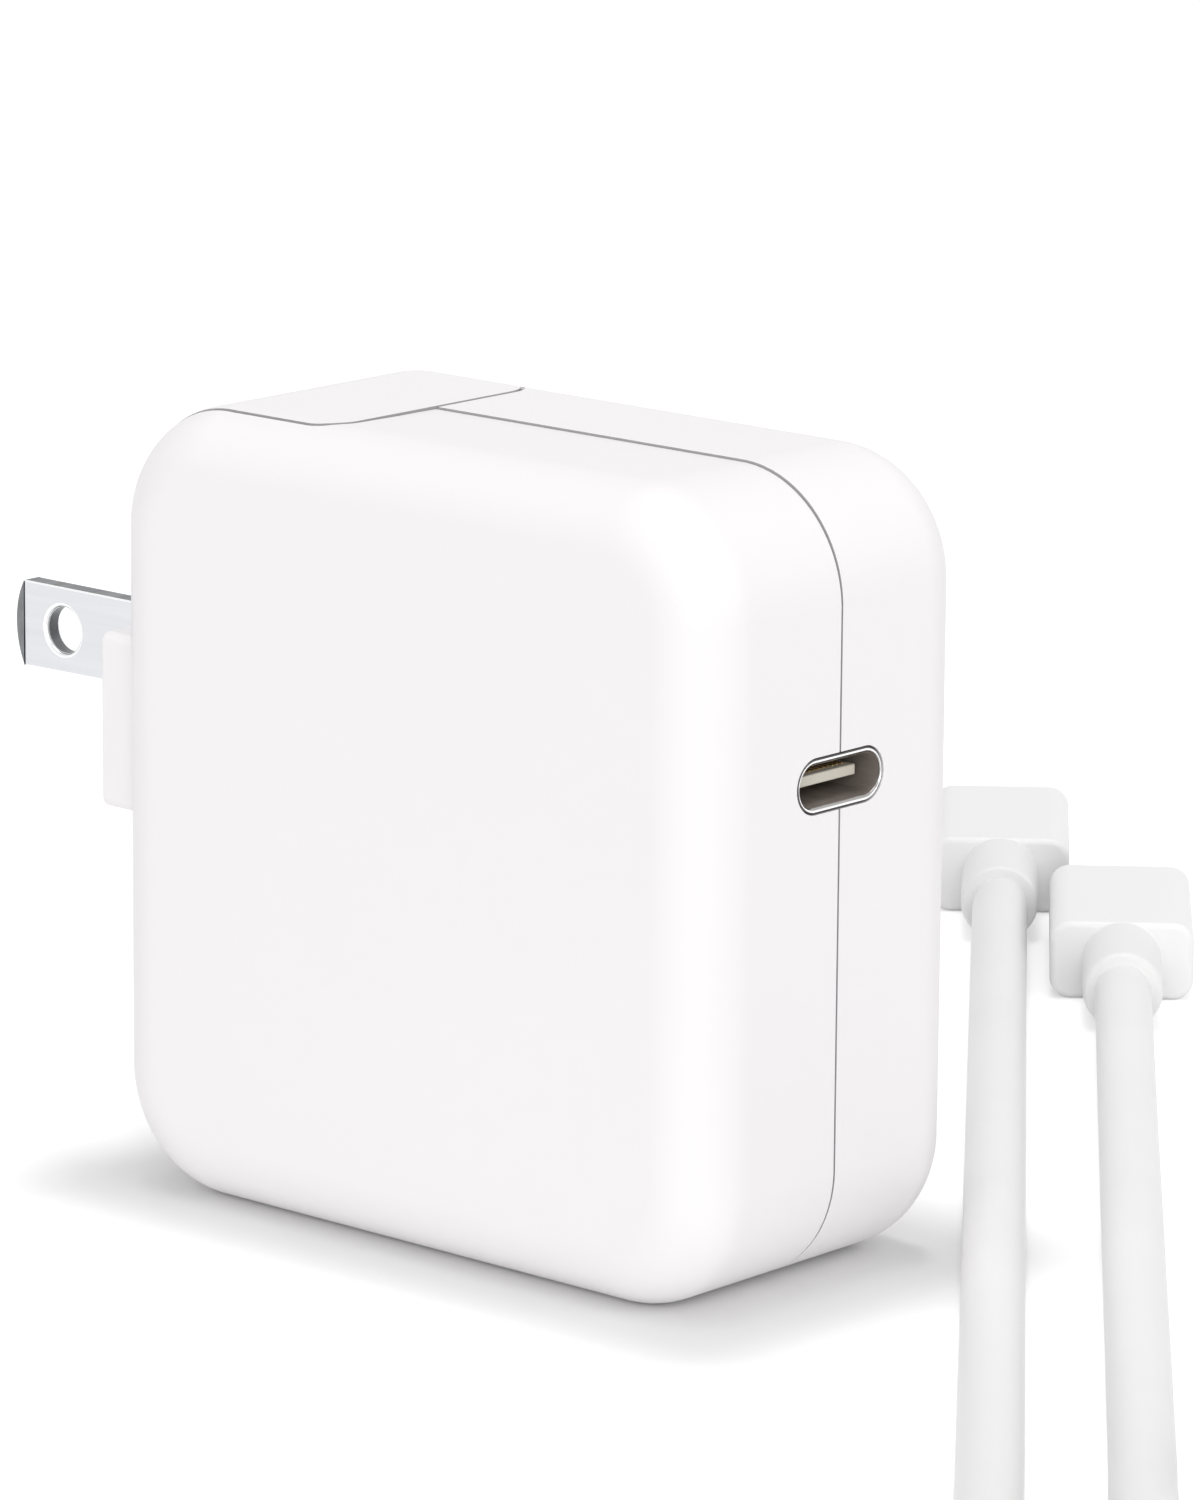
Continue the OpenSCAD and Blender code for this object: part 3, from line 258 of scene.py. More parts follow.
# The port's outer edge and its inside are painted darker as shade.
port_shade = finish("port_shade", (0.13, 0.125, 0.12), effect="lines", metal=1.0,
                    matt=(0.25, 0.35), drift=0.2, along=(0.2, 1, 1), bump=0.001)
port_inside_shade = finish("port_inside_shade", (0.21, 0.18, 0.16), effect="lines", matt=(0.35, 0.5),
                     drift=0.25, along=(0.2, 1, 1), bump=0.004)
tongue_beige = finish("tongue_beige", (0.74, 0.70, 0.60), matt=(0.4, 0.5), drift=0.05)
cable_white = finish("cable_white", (0.90, 0.895, 0.895), matt=(0.40, 0.48), drift=0.015,
                     size=3.0, bump=0.006)
print("finishes so far:", len(bpy.data.materials))

# %% [markdown]
# The cable is one flexible length with a plug on each end. It leaves one plug's sleeve
# straight, comes down to the table, runs to the coil, winds in four layers and returns to the
# other plug. The runs are listed points, the same as the solid's, the coil's turns come from a
# formula, and a smooth line is drawn through them all.

# %% Route of the cable
CABLE_D = 4.4
REST_Z = CABLE_D / 2
GRIP_T = 6.2
PLUG_LEN = 35.45
TIPS = {"a": Vector((32.8, 116.9, GRIP_T / 2)), "b": Vector((42.4, 89.7, GRIP_T / 2))}
COIL_LIFT = 0.6
COIL = Vector((90, -98, REST_Z + COIL_LIFT))
COIL_R, COIL_PITCH, LAYER_TURNS, LAYERS = 31, 4.9, 2.25, 4
OUTER_GAP, OUTER_TURN, OUTER_WIDENS = 5.0, 0.75, 0.2
COIL_FROM = math.radians(-135)
STEPS = 24
cable_frame = Matrix.Rotation(math.radians(38.5), 4, "Z")


def smooth(x):
    x = min(max(x, 0), 1)
    return x * x * (3 - 2 * x)


def on_circle(radius, turns, height):
    """A point of the coil, counted in turns from where the cable enters it."""
    angle = 2 * math.pi * turns + COIL_FROM
    return COIL + Vector((radius * math.cos(angle), radius * math.sin(angle), height))


def layer_point(t):
    """The wound layers: the radius swings in and out while the height climbs by steps."""
    swing = 2 * LAYER_TURNS
    layer = sum(smooth((t - k * LAYER_TURNS) / 0.5 + 0.5) for k in range(1, LAYERS))
    return on_circle(COIL_R - COIL_PITCH * abs(t - swing * round(t / swing)), t,
                     COIL_PITCH * layer)


def outer_point(s):
    """The last part of a turn, which comes down outside the layers to the table."""
    down = 1 - smooth((s - OUTER_WIDENS) / (OUTER_TURN - OUTER_WIDENS))
    return on_circle(COIL_R + OUTER_GAP * smooth(s / OUTER_WIDENS), s,
                     ((LAYERS - 1) * COIL_PITCH + COIL_LIFT) * down - COIL_LIFT)


def lead(tip, points):
    """A run from a plug: out of its sleeve, down to the table and on through the points."""
    y = tip.y - PLUG_LEN
    start = [(y, GRIP_T / 2), (y - CABLE_D, GRIP_T / 2), (y - 14, GRIP_T / 2 - 0.3),
             (y - 24, REST_Z + 0.2), (y - 35, REST_Z)]
    return ([Vector((tip.x, *place)) for place in start]
            + [Vector((x, y, REST_Z + lift)) for x, y, lift in points])


heading = Vector((-math.sin(COIL_FROM), math.cos(COIL_FROM), 0))
entry = on_circle(COIL_R, 0, 0) - CABLE_D * heading
lead_a = lead(TIPS["a"], [(32.8, y, 0) for y in (32, 18, 4, -10, -24, -38, -52, -63, -73)] + [
    (33.3, -78.5, 0), (34.9, -83.7, 0), (37.5, -88.6, 0), (41, -92.8, 0)]) + [
    entry - 22 * heading - Vector((0, 0, COIL_LIFT)),
    entry - 11 * heading - Vector((0, 0, COIL_LIFT / 2)), entry]
lead_b = lead(TIPS["b"], [(42.4, y, 0) for y in (6, -8, -22, -36, -50, -60, -67.8)] + [
    (43.2, -72, 0), (45.7, -75.7, 0), (49.3, -78.1, 0), (53.5, -78.9, 0), (57.8, -78.1, 0),
    (61.4, -75.7, 0)])
coil = ([layer_point(i / STEPS) for i in range(round(LAYERS * LAYER_TURNS * STEPS))]
        + [outer_point(i / STEPS) for i in range(round(OUTER_TURN * STEPS) + 1)])
route = lead_a + coil + lead_b[::-1]


def through(points, pieces):
    """A smooth line through the points, by the rule of Catmull and Rom."""
    line = []
    for i in range(len(points) - 1):
        p0, p1, p2, p3 = (points[max(min(j, len(points) - 1), 0)] for j in range(i - 1, i + 3))
        for k in range(pieces):
            t = k / pieces
            line.append(0.5 * (2 * p1 + (p2 - p0) * t + (2 * p0 - 5 * p1 + 4 * p2 - p3) * t ** 2
                               + (3 * p1 - p0 - 3 * p2 + p3) * t ** 3))
    return line + [points[-1]]


cable_line = [cable_frame @ p * MM for p in through(route, 4)]

# %% [markdown]
# A cord of solid links would look faceted and couldn't be bent again, so the cable is a curve
# with a round bevel, which gives it its thickness, and capped ends. It takes the place of the
# three solids that stand for its two runs and its coil.

# %% Cable
cable_curve = bpy.data.curves.new("cable", "CURVE")
cable_curve.dimensions = "3D"
cable_curve.bevel_depth = CABLE_D / 2 * MM
cable_curve.bevel_resolution = 6
cable_curve.use_fill_caps = True
spline = cable_curve.splines.new("POLY")
spline.points.add(len(cable_line) - 1)
for knot, point in zip(spline.points, cable_line):
    knot.co = (*point, 1)
spline.use_smooth = True
cable = bpy.data.objects.new("cable", cable_curve)
bpy.context.scene.collection.objects.link(cable)
cable.data.materials.append(cable_white)
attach(cable, "adapter")
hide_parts("cable_lead_a", "cable_lead_b", "cable_coil")
print("cable:", CABLE_D, "mm thick,", len(spline.points), "points")

# %% [markdown]
# Every solid piece starts as a bmesh in millimetres. Most are made of three simple forms: a box
# between two corners, a rod along an axis, and a loft, which bridges one rounded loop to the
# next. A loft shapes a soft edge by its loops alone, so no faces crowd together at the corners.

# %% Boxes, rods and lofts
FINE, COARSE = 96, 48
AXES = {"x": Matrix.Rotation(math.pi / 2, 4, "Y"), "y": Matrix.Rotation(-math.pi / 2, 4, "X"),
        "z": Matrix.Identity(4)}


def box(low, high):
    bm = bmesh.new()
    low, high = Vector(low), Vector(high)
    bmesh.ops.create_cube(bm, size=1)
    bmesh.ops.scale(bm, vec=high - low, verts=bm.verts)
    bmesh.ops.translate(bm, vec=(low + high) / 2, verts=bm.verts)
    return bm


def rod(radius, start, end, axis, centre, segments=64):
    """A round bar along an axis from start to end; centre gives the other two places."""
    bm = bmesh.new()
    bmesh.ops.create_cone(bm, cap_ends=True, segments=segments, radius1=radius, radius2=radius,
                          depth=end - start)
    middle = (start + end) / 2
    place = {"x": (middle, *centre), "y": (centre[0], middle, centre[1]), "z": (*centre, middle)}
    bmesh.ops.transform(bm, matrix=Matrix.Translation(place[axis]) @ AXES[axis], verts=bm.verts)
    return bm


def ring(bm, width, height, corner, at, facing, segments):
    """A closed loop with round corners across one axis: a circle whose quarters move apart."""
    made = bmesh.ops.create_circle(bm, segments=segments,
                                   radius=corner / math.cos(math.pi / segments))
    verts = made["verts"]
    bmesh.ops.rotate(bm, verts=verts, matrix=Matrix.Rotation(math.pi / segments, 3, "Z"))
    for v in verts:
        v.co.x += math.copysign(width / 2 - corner, v.co.x)
        v.co.y += math.copysign(height / 2 - corner, v.co.y)
    bmesh.ops.transform(bm, matrix=Matrix.Translation(at) @ facing, verts=verts)
    return list(dict.fromkeys(e for v in verts for e in v.link_edges))


ALONG_X = Matrix(((0, 0, 1, 0), (1, 0, 0, 0), (0, 1, 0, 0), (0, 0, 0, 1)))
ALONG_Y = Matrix(((-1, 0, 0, 0), (0, 0, 1, 0), (0, 1, 0, 0), (0, 0, 0, 1)))


def loft(sections, facing, segments=64):
    """Bridges loops given as (width, height, corner, place) and closes both ends. No two loops
    that follow each other lie in one plane, or the bridge between them could twist."""
    bm = bmesh.new()
    loops = [ring(bm, *section, facing, segments) for section in sections]
    for one, other in zip(loops, loops[1:]):
        bmesh.ops.bridge_loops(bm, edges=one + other)
    for end in (loops[0], loops[-1]):
        bmesh.ops.edgeloop_fill(bm, edges=end)
    bmesh.ops.recalc_face_normals(bm, faces=bm.faces)
    return bm


print("forms:", [f.__name__ for f in (box, rod, ring, loft)])

# %% [markdown]
# A few edges are rounded in the bmesh itself. Openings and ledges are cut and joined with the
# Boolean modifier's exact solver, which takes faces that lie close together better than the
# fast one. Each combination is carried out at once, so the later steps see a plain mesh.

# %% Rounding, cutting and joining
def soften(bm, edges, offset, segments):
    bmesh.ops.bevel(bm, geom=list(edges), offset=offset, offset_type="OFFSET",
                    segments=segments, profile=0.5, affect="EDGES", material=-1)


def run_along(bm, axis):
    """The edges of a mesh that run along one axis."""
    k = "xyz".index(axis)
    return [e for e in bm.edges
            if abs((e.verts[0].co - e.verts[1].co).normalized()[k]) > 0.999]


def scratch_object(bm):
    mesh = bpy.data.meshes.new("scratch")
    bm.to_mesh(mesh)
    bm.free()
    made = bpy.data.objects.new("scratch", mesh)
    bpy.context.scene.collection.objects.link(made)
    return made


def combine(base, *steps):
    """Joins, cuts or trims a bmesh by others, given as pairs of a way and a bmesh."""
    body = scratch_object(base)
    tools = [scratch_object(tool) for _, tool in steps]
    for (way, _), tool in zip(steps, tools):
        step = body.modifiers.new(way, "BOOLEAN")
        step.operation, step.solver, step.object = way, "EXACT", tool
    bpy.context.view_layer.update()
    view = body.evaluated_get(bpy.context.evaluated_depsgraph_get())
    bm = bmesh.new()
    bm.from_mesh(view.to_mesh())
    view.to_mesh_clear()
    for spent in [body, *tools]:
        mesh = spent.data
        bpy.data.objects.remove(spent)
        bpy.data.meshes.remove(mesh)
    bmesh.ops.remove_doubles(bm, verts=bm.verts, dist=0.001)
    bmesh.ops.dissolve_degenerate(bm, dist=0.001, edges=bm.edges)
    return bm


CUT, JOIN, TRIM = "DIFFERENCE", "UNION", "INTERSECT"
print("ways to combine:", CUT, JOIN, TRIM)

# %% [markdown]
# A finished piece has smooth faces, sharp folds where the real part has them, and a finish on
# every face. Its remaining sharp edges are broken by a narrow bevel where the real part's are,
# because no moulded or pressed edge is perfectly sharp and a bevel catches the light. The piece
# then rides on its body and says which solid it takes the place of.

# %% Finished pieces
BREAK_LIMIT = 35


def break_edges(made, width, edge_slot=-1):
    rounding = made.modifiers.new("broken_edges", "BEVEL")
    rounding.width, rounding.segments = width * MM, 2
    rounding.limit_method, rounding.angle_limit = "ANGLE", math.radians(BREAK_LIMIT)
    rounding.miter_outer = "MITER_ARC"
    rounding.use_clamp_overlap = True
    # For the blades the bevel's faces take a painted highlight.
    rounding.material = edge_slot


def piece(bm, name, material, body, replaces=(), turn=None, edge=0.0, fold=28,
          more=(), edge_slot=-1):
    """Makes a bmesh in millimetres a finished piece in metres, which rides on a body."""
    bmesh.ops.recalc_face_normals(bm, faces=bm.faces)
    bmesh.ops.transform(bm, matrix=Matrix.Scale(MM, 4) @ (turn or Matrix.Identity(4)),
                        verts=bm.verts)
    for face in bm.faces:
        face.smooth = True
    for line in bm.edges:
        line.smooth = line.calc_face_angle(0) < math.radians(fold)
    open_edges = sum(not line.is_manifold for line in bm.edges)
    volume = bm.calc_volume() / MM ** 3
    mesh = bpy.data.meshes.new(name)
    bm.to_mesh(mesh)
    bm.free()
    made = bpy.data.objects.new(name, mesh)
    bpy.context.scene.collection.objects.link(made)
    for coat in (material, *more):
        mesh.materials.append(coat)
    if edge:
        break_edges(made, edge, edge_slot=edge_slot)
    weigh = made.modifiers.new("even_shading", "WEIGHTED_NORMAL")
    weigh.keep_sharp = not edge
    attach(made, body)
    if replaces:
        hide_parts(*replaces)
    print(f"{name}: {len(mesh.polygons)} faces, {open_edges} open edges, {volume:.1f} mm3")
    return made


print("sharp edges over", BREAK_LIMIT, "degrees can be broken")

# %% [markdown]
# The adapter is a block with two kinds of rounding: wide corners on its large faces and a
# smaller soft edge round them. Bevelling a cube twice would crowd faces at the corners, so the
# block is lofted: loops with round corners follow each other through the thickness, and the
# loops near each large face shrink along a quarter circle.

# %% Rounded block
BODY_W, BODY_H, BODY_T = 56, 57, 28
CORNER_R, EDGE_R, WALL = 9, 4.7, 1.8
SIDE_X = BODY_W / 2
INNER_Y = BODY_T / 2 - WALL


def half_sections(width, height, depth, corner, edge, base=0.0, steps=12):
    """Sections for a loft, from the parting plane to the large face at a depth before it."""
    rows = [(0, 0), (0, depth - edge)] if edge else [(0, 0), (0, depth)]
    rows += [(edge * (1 - math.cos(a)), depth - edge * (1 - math.sin(a)))
             for a in (math.pi / 2 * k / steps for k in range(1, steps + 1)) if edge]
    return [(width - 2 * i, height - 2 * i, corner - i, (0, -d, base + height / 2))
            for i, d in rows]


def whole_block(width, height, depth, corner, edge, base=0.0):
    """Both halves as one loft, from the front face through the thickness to the back one."""
    front = half_sections(width, height, depth / 2, corner, edge, base)[1:]
    rear = [(w, h, r, (x, -y, z)) for w, h, r, (x, y, z) in front]
    return loft(front[::-1] + rear, ALONG_Y, FINE)


def block_inside(inset):
    """The adapter's whole block with every face moved in by the same distance."""
    return whole_block(BODY_W - 2 * inset, BODY_H - 2 * inset, BODY_T - 2 * inset,
                       CORNER_R - inset, EDGE_R - inset, inset)


print("rounded block:", BODY_W, "by", BODY_T, "by", BODY_H, "mm")

# %% [markdown]
# The two shells meet in a fine gap that runs all round the narrow sides, half as deep as the
# wall is thick. A painted line could stand for it, but a real gap darkens and fades with the
# view as it should, and its two faces are also painted grey as shade, which darkens it more.
# Moulded shells never meet quite level: along the top the front one runs 0.15 mm low at the
# gap, which makes the line there stronger.

# %% Half of the block, with its side of the gap
SEAM_GAP, SEAM_DEPTH = 0.04, WALL / 2
FRONT_BREAK, FRONT_DROOP, BACK_BREAK = 0.1, 0.15, 0.02


def front_half(broken, droop):
    """The front half of the adapter. Its outer rim stops a little short of the parting plane,
    its edge there is broken by a width, and its top runs down to that edge by a droop."""
    rows = half_sections(BODY_W, BODY_H, BODY_T / 2, CORNER_R, EDGE_R)
    w, h, r, (x, _, z) = rows[0]
    lip = SEAM_GAP + 0.01
    rim = [(w - 2 * i, h - 2 * i - droop, r - i, (x, -d, z - droop / 2)) for i, d in
           ((SEAM_DEPTH, 0), (SEAM_DEPTH, SEAM_GAP), (broken, lip), (0, lip + broken))]
    return loft(rim + rows[1:], ALONG_Y, FINE)


print("gap between the shells:", 2 * SEAM_GAP, "mm wide,", SEAM_DEPTH, "mm deep")

# %% [markdown]
# The plug module slides into a pocket in the case. Pocket, socket, stud and port each need an
# opening that both shells share, so each opening is a shape of its own, to be cut from one
# shell and then from the other. The pocket is a box whose inner upright edges are round.

# %% Pocket and openings
PLUG_DEPTH, PLUG_H, PLUG_W, PLUG_R, PLUG_GAP, PLUG_WALL = 19, 37.5, 21, 2.5, 0.15, 1.5
POCKET_X, POCKET_Z = -BODY_W / 2 + PLUG_DEPTH, BODY_H - PLUG_H
POCKET_WALL_X, POCKET_FLOOR = POCKET_X + PLUG_WALL, POCKET_Z - PLUG_WALL
INLET_X, NOSE_R, LOBE_PITCH = -18.5, 3.8, 5.8
STUD_Z, STUD_HOLE_R = 36, 1.8
PORT_W, PORT_H, PORT_Z = 9.1, 3.95, 36.2
MOUTH = 0.12


def upright_prism(low, high, corner):
    """A box with its two upright edges on the +x side rounded."""
    bm = box(low, high)
    inner = [e for e in run_along(bm, "z") if e.verts[0].co.x > (low[0] + high[0]) / 2]
    soften(bm, inner, corner, 12)
    return bm


def pocket(wider=0.0):
    return upright_prism((-SIDE_X - 3, -PLUG_W / 2 - wider, POCKET_Z - wider),
                         (POCKET_X + wider, PLUG_W / 2 + wider, BODY_H + 3), PLUG_R + wider)


def pocket_mouth():
    """A shallow step round the pocket's mouth, where the mould's edge is broken."""
    return combine(pocket(MOUTH), (CUT, block_inside(MOUTH)))


def figure_eight(radius, low, high):
    """Two round lobes side by side with a straight waist."""
    lobes = [rod(radius, low, high, "z", (INLET_X, side * LOBE_PITCH / 2)) for side in (-1, 1)]
    waist = box((INLET_X - radius + 0.5, -LOBE_PITCH / 2, low),
                (INLET_X + radius - 0.5, LOBE_PITCH / 2, high))
    return combine(lobes[0], (JOIN, lobes[1]), (JOIN, waist))


def case_half(tongue):
    """A hollow half of the adapter, facing the front: one carries a tongue, the other a step."""
    room_w, room_h, room_r = BODY_W - 2 * WALL, BODY_H - 2 * WALL, CORNER_R - WALL
    rows = half_sections(room_w, room_h, INNER_Y, room_r, EDGE_R - WALL, WALL, 6)
    w, h, r, (x, _, z) = rows[0]
    room = combine(loft([(w, h, r, (x, 1, z))] + rows[1:], ALONG_Y),
                   (CUT, box((-SIDE_X - 1, -BODY_T, POCKET_FLOOR), (POCKET_WALL_X, 2, BODY_H))))
    # The lip is the tongue that one half carries, or the room for it that the other gives up.
    depth, play, inner, reach = (0.5, -0.05, 0, 1.2) if tongue else (1.4, 0.05, 0.5, 1)
    outer = (BODY_W - WALL + 2 * play, BODY_H - WALL + 2 * play, CORNER_R - WALL / 2 + play)
    hole = (room_w - 2 * inner, room_h - 2 * inner, room_r - inner)
    lip = combine(loft([(*outer, (0, y, BODY_H / 2)) for y in (reach, -depth)], ALONG_Y),
                  (CUT, loft([(*hole, (0, y, BODY_H / 2)) for y in (3, -3)], ALONG_Y)),
                  (CUT, box((-SIDE_X - 1, -9, POCKET_FLOOR - 0.1),
                            (POCKET_WALL_X + 0.1, 9, BODY_H + 1))))
    half = front_half(FRONT_BREAK, FRONT_DROOP) if tongue else front_half(BACK_BREAK, 0)
    port = [(PORT_W, PORT_H, PORT_H / 2, (x, 0, PORT_Z)) for x in (SIDE_X - 3, SIDE_X + 1)]
    return combine(
        half, (CUT, room), (JOIN if tongue else CUT, lip), (CUT, pocket()), (CUT, pocket_mouth()),
        (CUT, figure_eight(NOSE_R + 0.3, POCKET_FLOOR - 1, POCKET_Z + 1)),
        (CUT, rod(STUD_HOLE_R, POCKET_X - 1, POCKET_WALL_X + 1, "x", (0, STUD_Z))),
        (CUT, loft(port, ALONG_X)))


print("pocket:", PLUG_DEPTH, "by", PLUG_W, "by", PLUG_H, "mm")

# %% [markdown]
# Each shell is hollow. The front one carries a thin tongue that fits behind the back one's
# edge, and the ledges of the small board. The back one carries four posts for the main board,
# and it is made facing the front too, then mirrored. The two faces of the gap are painted a
# matt grey as shade, so little light comes out of it and it reads as a thin grey line.

# %% Case shells
def paint_gap_shade(bm):
    """Paints the two faces of the gap between the shells grey, as shade."""
    bm.normal_update()
    for face in bm.faces:
        in_gap = abs(face.calc_center_median().y) < 0.08 and abs(face.normal.y) > 0.9
        face.material_index = int(in_gap)
    return bm


LEDGES, LEDGE_LOW, LEDGE_TOP = (10, 20), 31.87, 33.37
POSTS, POST_R = ((-19.5, 9.8), (13.2, 5.8), (-2.5, 31.5), (18, 45)), 1.8

front_bm = combine(case_half(True), *[
    (JOIN, box((x, -INNER_Y - 0.01, LEDGE_LOW), (x + 2, -INNER_Y + 3, LEDGE_TOP)))
    for x in LEDGES])
piece(paint_gap_shade(front_bm), "front_case", case_white, "adapter", ["front_shell"],
      more=[seam_shade])

back_bm = case_half(False)
bmesh.ops.scale(back_bm, vec=(1, -1, 1), verts=back_bm.verts)
bmesh.ops.reverse_faces(back_bm, faces=back_bm.faces)
back_bm = combine(back_bm, *[
    (JOIN, rod(POST_R, 10, INNER_Y + 0.01, "y", spot)) for spot in POSTS])
piece(paint_gap_shade(back_bm), "back_case", case_white, "adapter", ["back_shell"],
      more=[seam_shade])

# %% [markdown]
# Two blades stand on a bar with one axle and fold down into slots of the plug module. The room
# that they sweep could be made by turning the blades step by step. It is simpler to cut round
# rooms about the axle, where the bar and the blades' roots turn, and straight slots where the
# strips come to lie.

# %% Room for the blades
HINGE_X, HINGE_Z = -28.5, 37.2
BLADE_Y, BLADE_T, BLADE_W, BLADE_Z = 6.35, 1.5, 6.35, 37.7
TIP_X = -44.3
BLADE_TOP, BLADE_LOW = BLADE_Z + BLADE_W / 2, BLADE_Z - BLADE_W / 2
ROOT_R = BLADE_TOP - HINGE_Z
SLOT_W, SLOT_LOW, SLOT_FLOOR = BLADE_T + 0.6, 21.1, -25.5
BLOCK_X = -24.9
BAR_HALF, BAR_R, AXLE_R, AXLE_END = BLADE_Y - BLADE_T / 2, 2.4, 1.3, 8.95


def blade_room():
    """Everything that the blades and their bar sweep, as simple shapes to cut away. The boxes
    stop a hair inside the round shapes, because Booleans dislike faces that only just touch."""
    hair, play = 0.02, 0.3
    disc, bar, axle = ROOT_R + play, BAR_R + play, AXLE_R + 0.05

    def behind(radius, y0, y1):
        return box((HINGE_X, y0 + hair, HINGE_Z - radius + hair),
                   (BLOCK_X + 1, y1 - hair, HINGE_Z + radius - hair))

    cuts = [rod(bar, -BAR_HALF, BAR_HALF, "y", (HINGE_X, HINGE_Z)),
            behind(bar, -BAR_HALF, BAR_HALF),
            box((HINGE_X - bar + hair, -BAR_HALF + hair, HINGE_Z + hair),
                (HINGE_X - play, BAR_HALF - hair, HINGE_Z + bar - 2 * hair)),
            rod(axle, -AXLE_END, AXLE_END, "y", (HINGE_X, HINGE_Z), COARSE),
            behind(axle, -AXLE_END, AXLE_END)]
    for side in (-1, 1):
        y0, y1 = side * BLADE_Y - SLOT_W / 2, side * BLADE_Y + SLOT_W / 2
        cuts += [rod(disc, y0, y1, "y", (HINGE_X, HINGE_Z), FINE), behind(disc, y0, y1),
                 box((TIP_X, y0 + hair, SLOT_LOW),
                     (SLOT_FLOOR, y1 - hair, BLADE_TOP + play - 2 * hair))]
    return cuts


print("slots:", round(SLOT_W, 2), "mm wide for blades of", BLADE_T, "mm")

# %% [markdown]
# A part that slides on never lies quite flush. The module stands a hair proud of the case, and
# the narrow rim that this leaves is painted with the grey of the seams as shade, so the
# hairline gap beside it reads from the side as well as from above. The rim's faces are found
# by their place, near an upright wall and near the block's surface, which holds however the
# Booleans divide the mesh.

# %% Rim of the module
MODULE_X, MODULE_Y, MODULE_Z = POCKET_X - PLUG_GAP, PLUG_W / 2 - PLUG_GAP, POCKET_Z + PLUG_GAP
PROUD, RIM, HAIR = 0.035, 0.25, 0.02


def module_prism(less, longer):
    """The upright prism that the module fills, with its walls moved in and its ends out."""
    return upright_prism((-SIDE_X - longer, less - MODULE_Y, MODULE_Z - longer),
                         (MODULE_X - less, MODULE_Y - less, BODY_H + longer), PLUG_R - less)


def module_rim():
    """The skin of the module's upright walls, as deep as the rim, to be cut a hair back."""
    return combine(module_prism(-1, 4), (CUT, module_prism(HAIR, 5)), (CUT, block_inside(RIM)))


def depth_in_block(point):
    """How far a point lies inside the block's outline, seen from the front."""
    x, z = (max(abs(c) - half + CORNER_R, 0) for c, half in
            ((point.x, BODY_W / 2), (point.z - BODY_H / 2, BODY_H / 2)))
    straight = min(BODY_W / 2 - abs(point.x), BODY_H / 2 - abs(point.z - BODY_H / 2))
    return CORNER_R - math.hypot(x, z) if x and z else straight


def paint_rim_shade(bm):
    """Paints the rim's upright faces with the seams' grey, as shade."""
    bm.normal_update()
    for face in bm.faces:
        near_wall = all(abs(v.co.y) > MODULE_Y - 1.5 * HAIR or v.co.x > MODULE_X - PLUG_R
                        for v in face.verts)
        shallow = all(-0.2 < depth_in_block(v.co) < 0.6 for v in face.verts)
        upright = abs(face.normal.z) < 0.3 and face.normal.x > -0.3
        face.material_index = int(near_wall and shallow and upright)
    print("rim faces:", sum(face.material_index for face in bm.faces))
    return bm


print("module stands", PROUD, "mm proud, with a gap of", PLUG_GAP, "mm beside it")

# %% [markdown]
# The plug module is a slice of the same rounded block as the case, so its top and side flow
# into the case. It could be modelled alone, but a slice is sure to match. It is hollow, its
# inner side is closed by a plate, a raised boss with two slots carries the folding blades, and
# a keyhole groove in its foot lets it slide over the stud.

# %% Plug module
BOSS_OUT, BOSS_W, BOSS_H, BOSS_LOW = 4.3, 20.2, 12.8, 26.3
BOSS_R, BOSS_EDGE, BOSS_ROOT = 0.75, 0.35, 0.4
BLOCK_OUT, BLOCK_HALF = -27.8, 9.5
GROOVE_X, NECK_X, NECK_HALF, HEAD_HALF = -12.1, MODULE_X - 1.3, 2.1, 3.4
FOOT_TOP = MODULE_Z + 2.5

hollow = whole_block(BODY_W - 2 * PLUG_WALL, BODY_H - 2 * PLUG_WALL,
                     2 * (MODULE_Y - PLUG_WALL), CORNER_R - PLUG_WALL, 0, PLUG_WALL)
hollow = combine(hollow, (TRIM, box((-SIDE_X, -14, MODULE_Z + PLUG_WALL), (SIDE_X, 14, BODY_H))))
boss = loft([(w, h, r, (BOSS_ROOT - SIDE_X + y, 0, z)) for w, h, r, (_, y, z) in half_sections(
    BOSS_W, BOSS_H, BOSS_OUT + BOSS_ROOT, BOSS_R, BOSS_EDGE, BOSS_LOW, 6)], ALONG_X, COARSE)
module_bm = combine(
    whole_block(BODY_W + 2 * PROUD, BODY_H + 2 * PROUD, BODY_T, CORNER_R + PROUD, EDGE_R, -PROUD),
    (TRIM, upright_prism((-SIDE_X - 3, -MODULE_Y, MODULE_Z), (MODULE_X, MODULE_Y, BODY_H + 3),
                         PLUG_R)),
    (CUT, module_rim()), (CUT, hollow),
    (JOIN, box((BLOCK_OUT, -BLOCK_HALF, MODULE_Z + 0.2), (BLOCK_X, BLOCK_HALF, BLADE_TOP + 1.6))),
    (JOIN, boss),
    *[(CUT, shape) for shape in blade_room()],
    (CUT, box((NECK_X, -NECK_HALF, MODULE_Z - 1), (MODULE_X + 1, NECK_HALF, FOOT_TOP))),
    (CUT, box((GROOVE_X, -HEAD_HALF, MODULE_Z - 1), (NECK_X, HEAD_HALF, FOOT_TOP))),
    (CUT, figure_eight(NOSE_R, MODULE_Z - 1, FOOT_TOP)))
piece(paint_rim_shade(module_bm), "plug_body", case_white, "plug_module", ["plug_housing"],
      more=[seam_shade])

# %% [markdown]
# Each blade is a flat strip of nickel-plated brass: round and bevelled at the tip, with a
# countersunk hole near it, broken edges, and a round root that turns on the axle. It is pressed
# from sheet, and it is made the same way here: an outline of two arcs and two straight lines is
# filled and extruded, then two slanted cuts thin the tip. The rolled faces are pale, the faces
# that the press has shorn are duller and painted darker as shade, and the narrow bevel between
# them is painted bright as a highlight.

# %% Shape of a blade
HOLE_X, HOLE_R, SINK = -39.1, 1.7, 0.2
TIP_ROUND, TIP_HALF = 1.2, 0.35


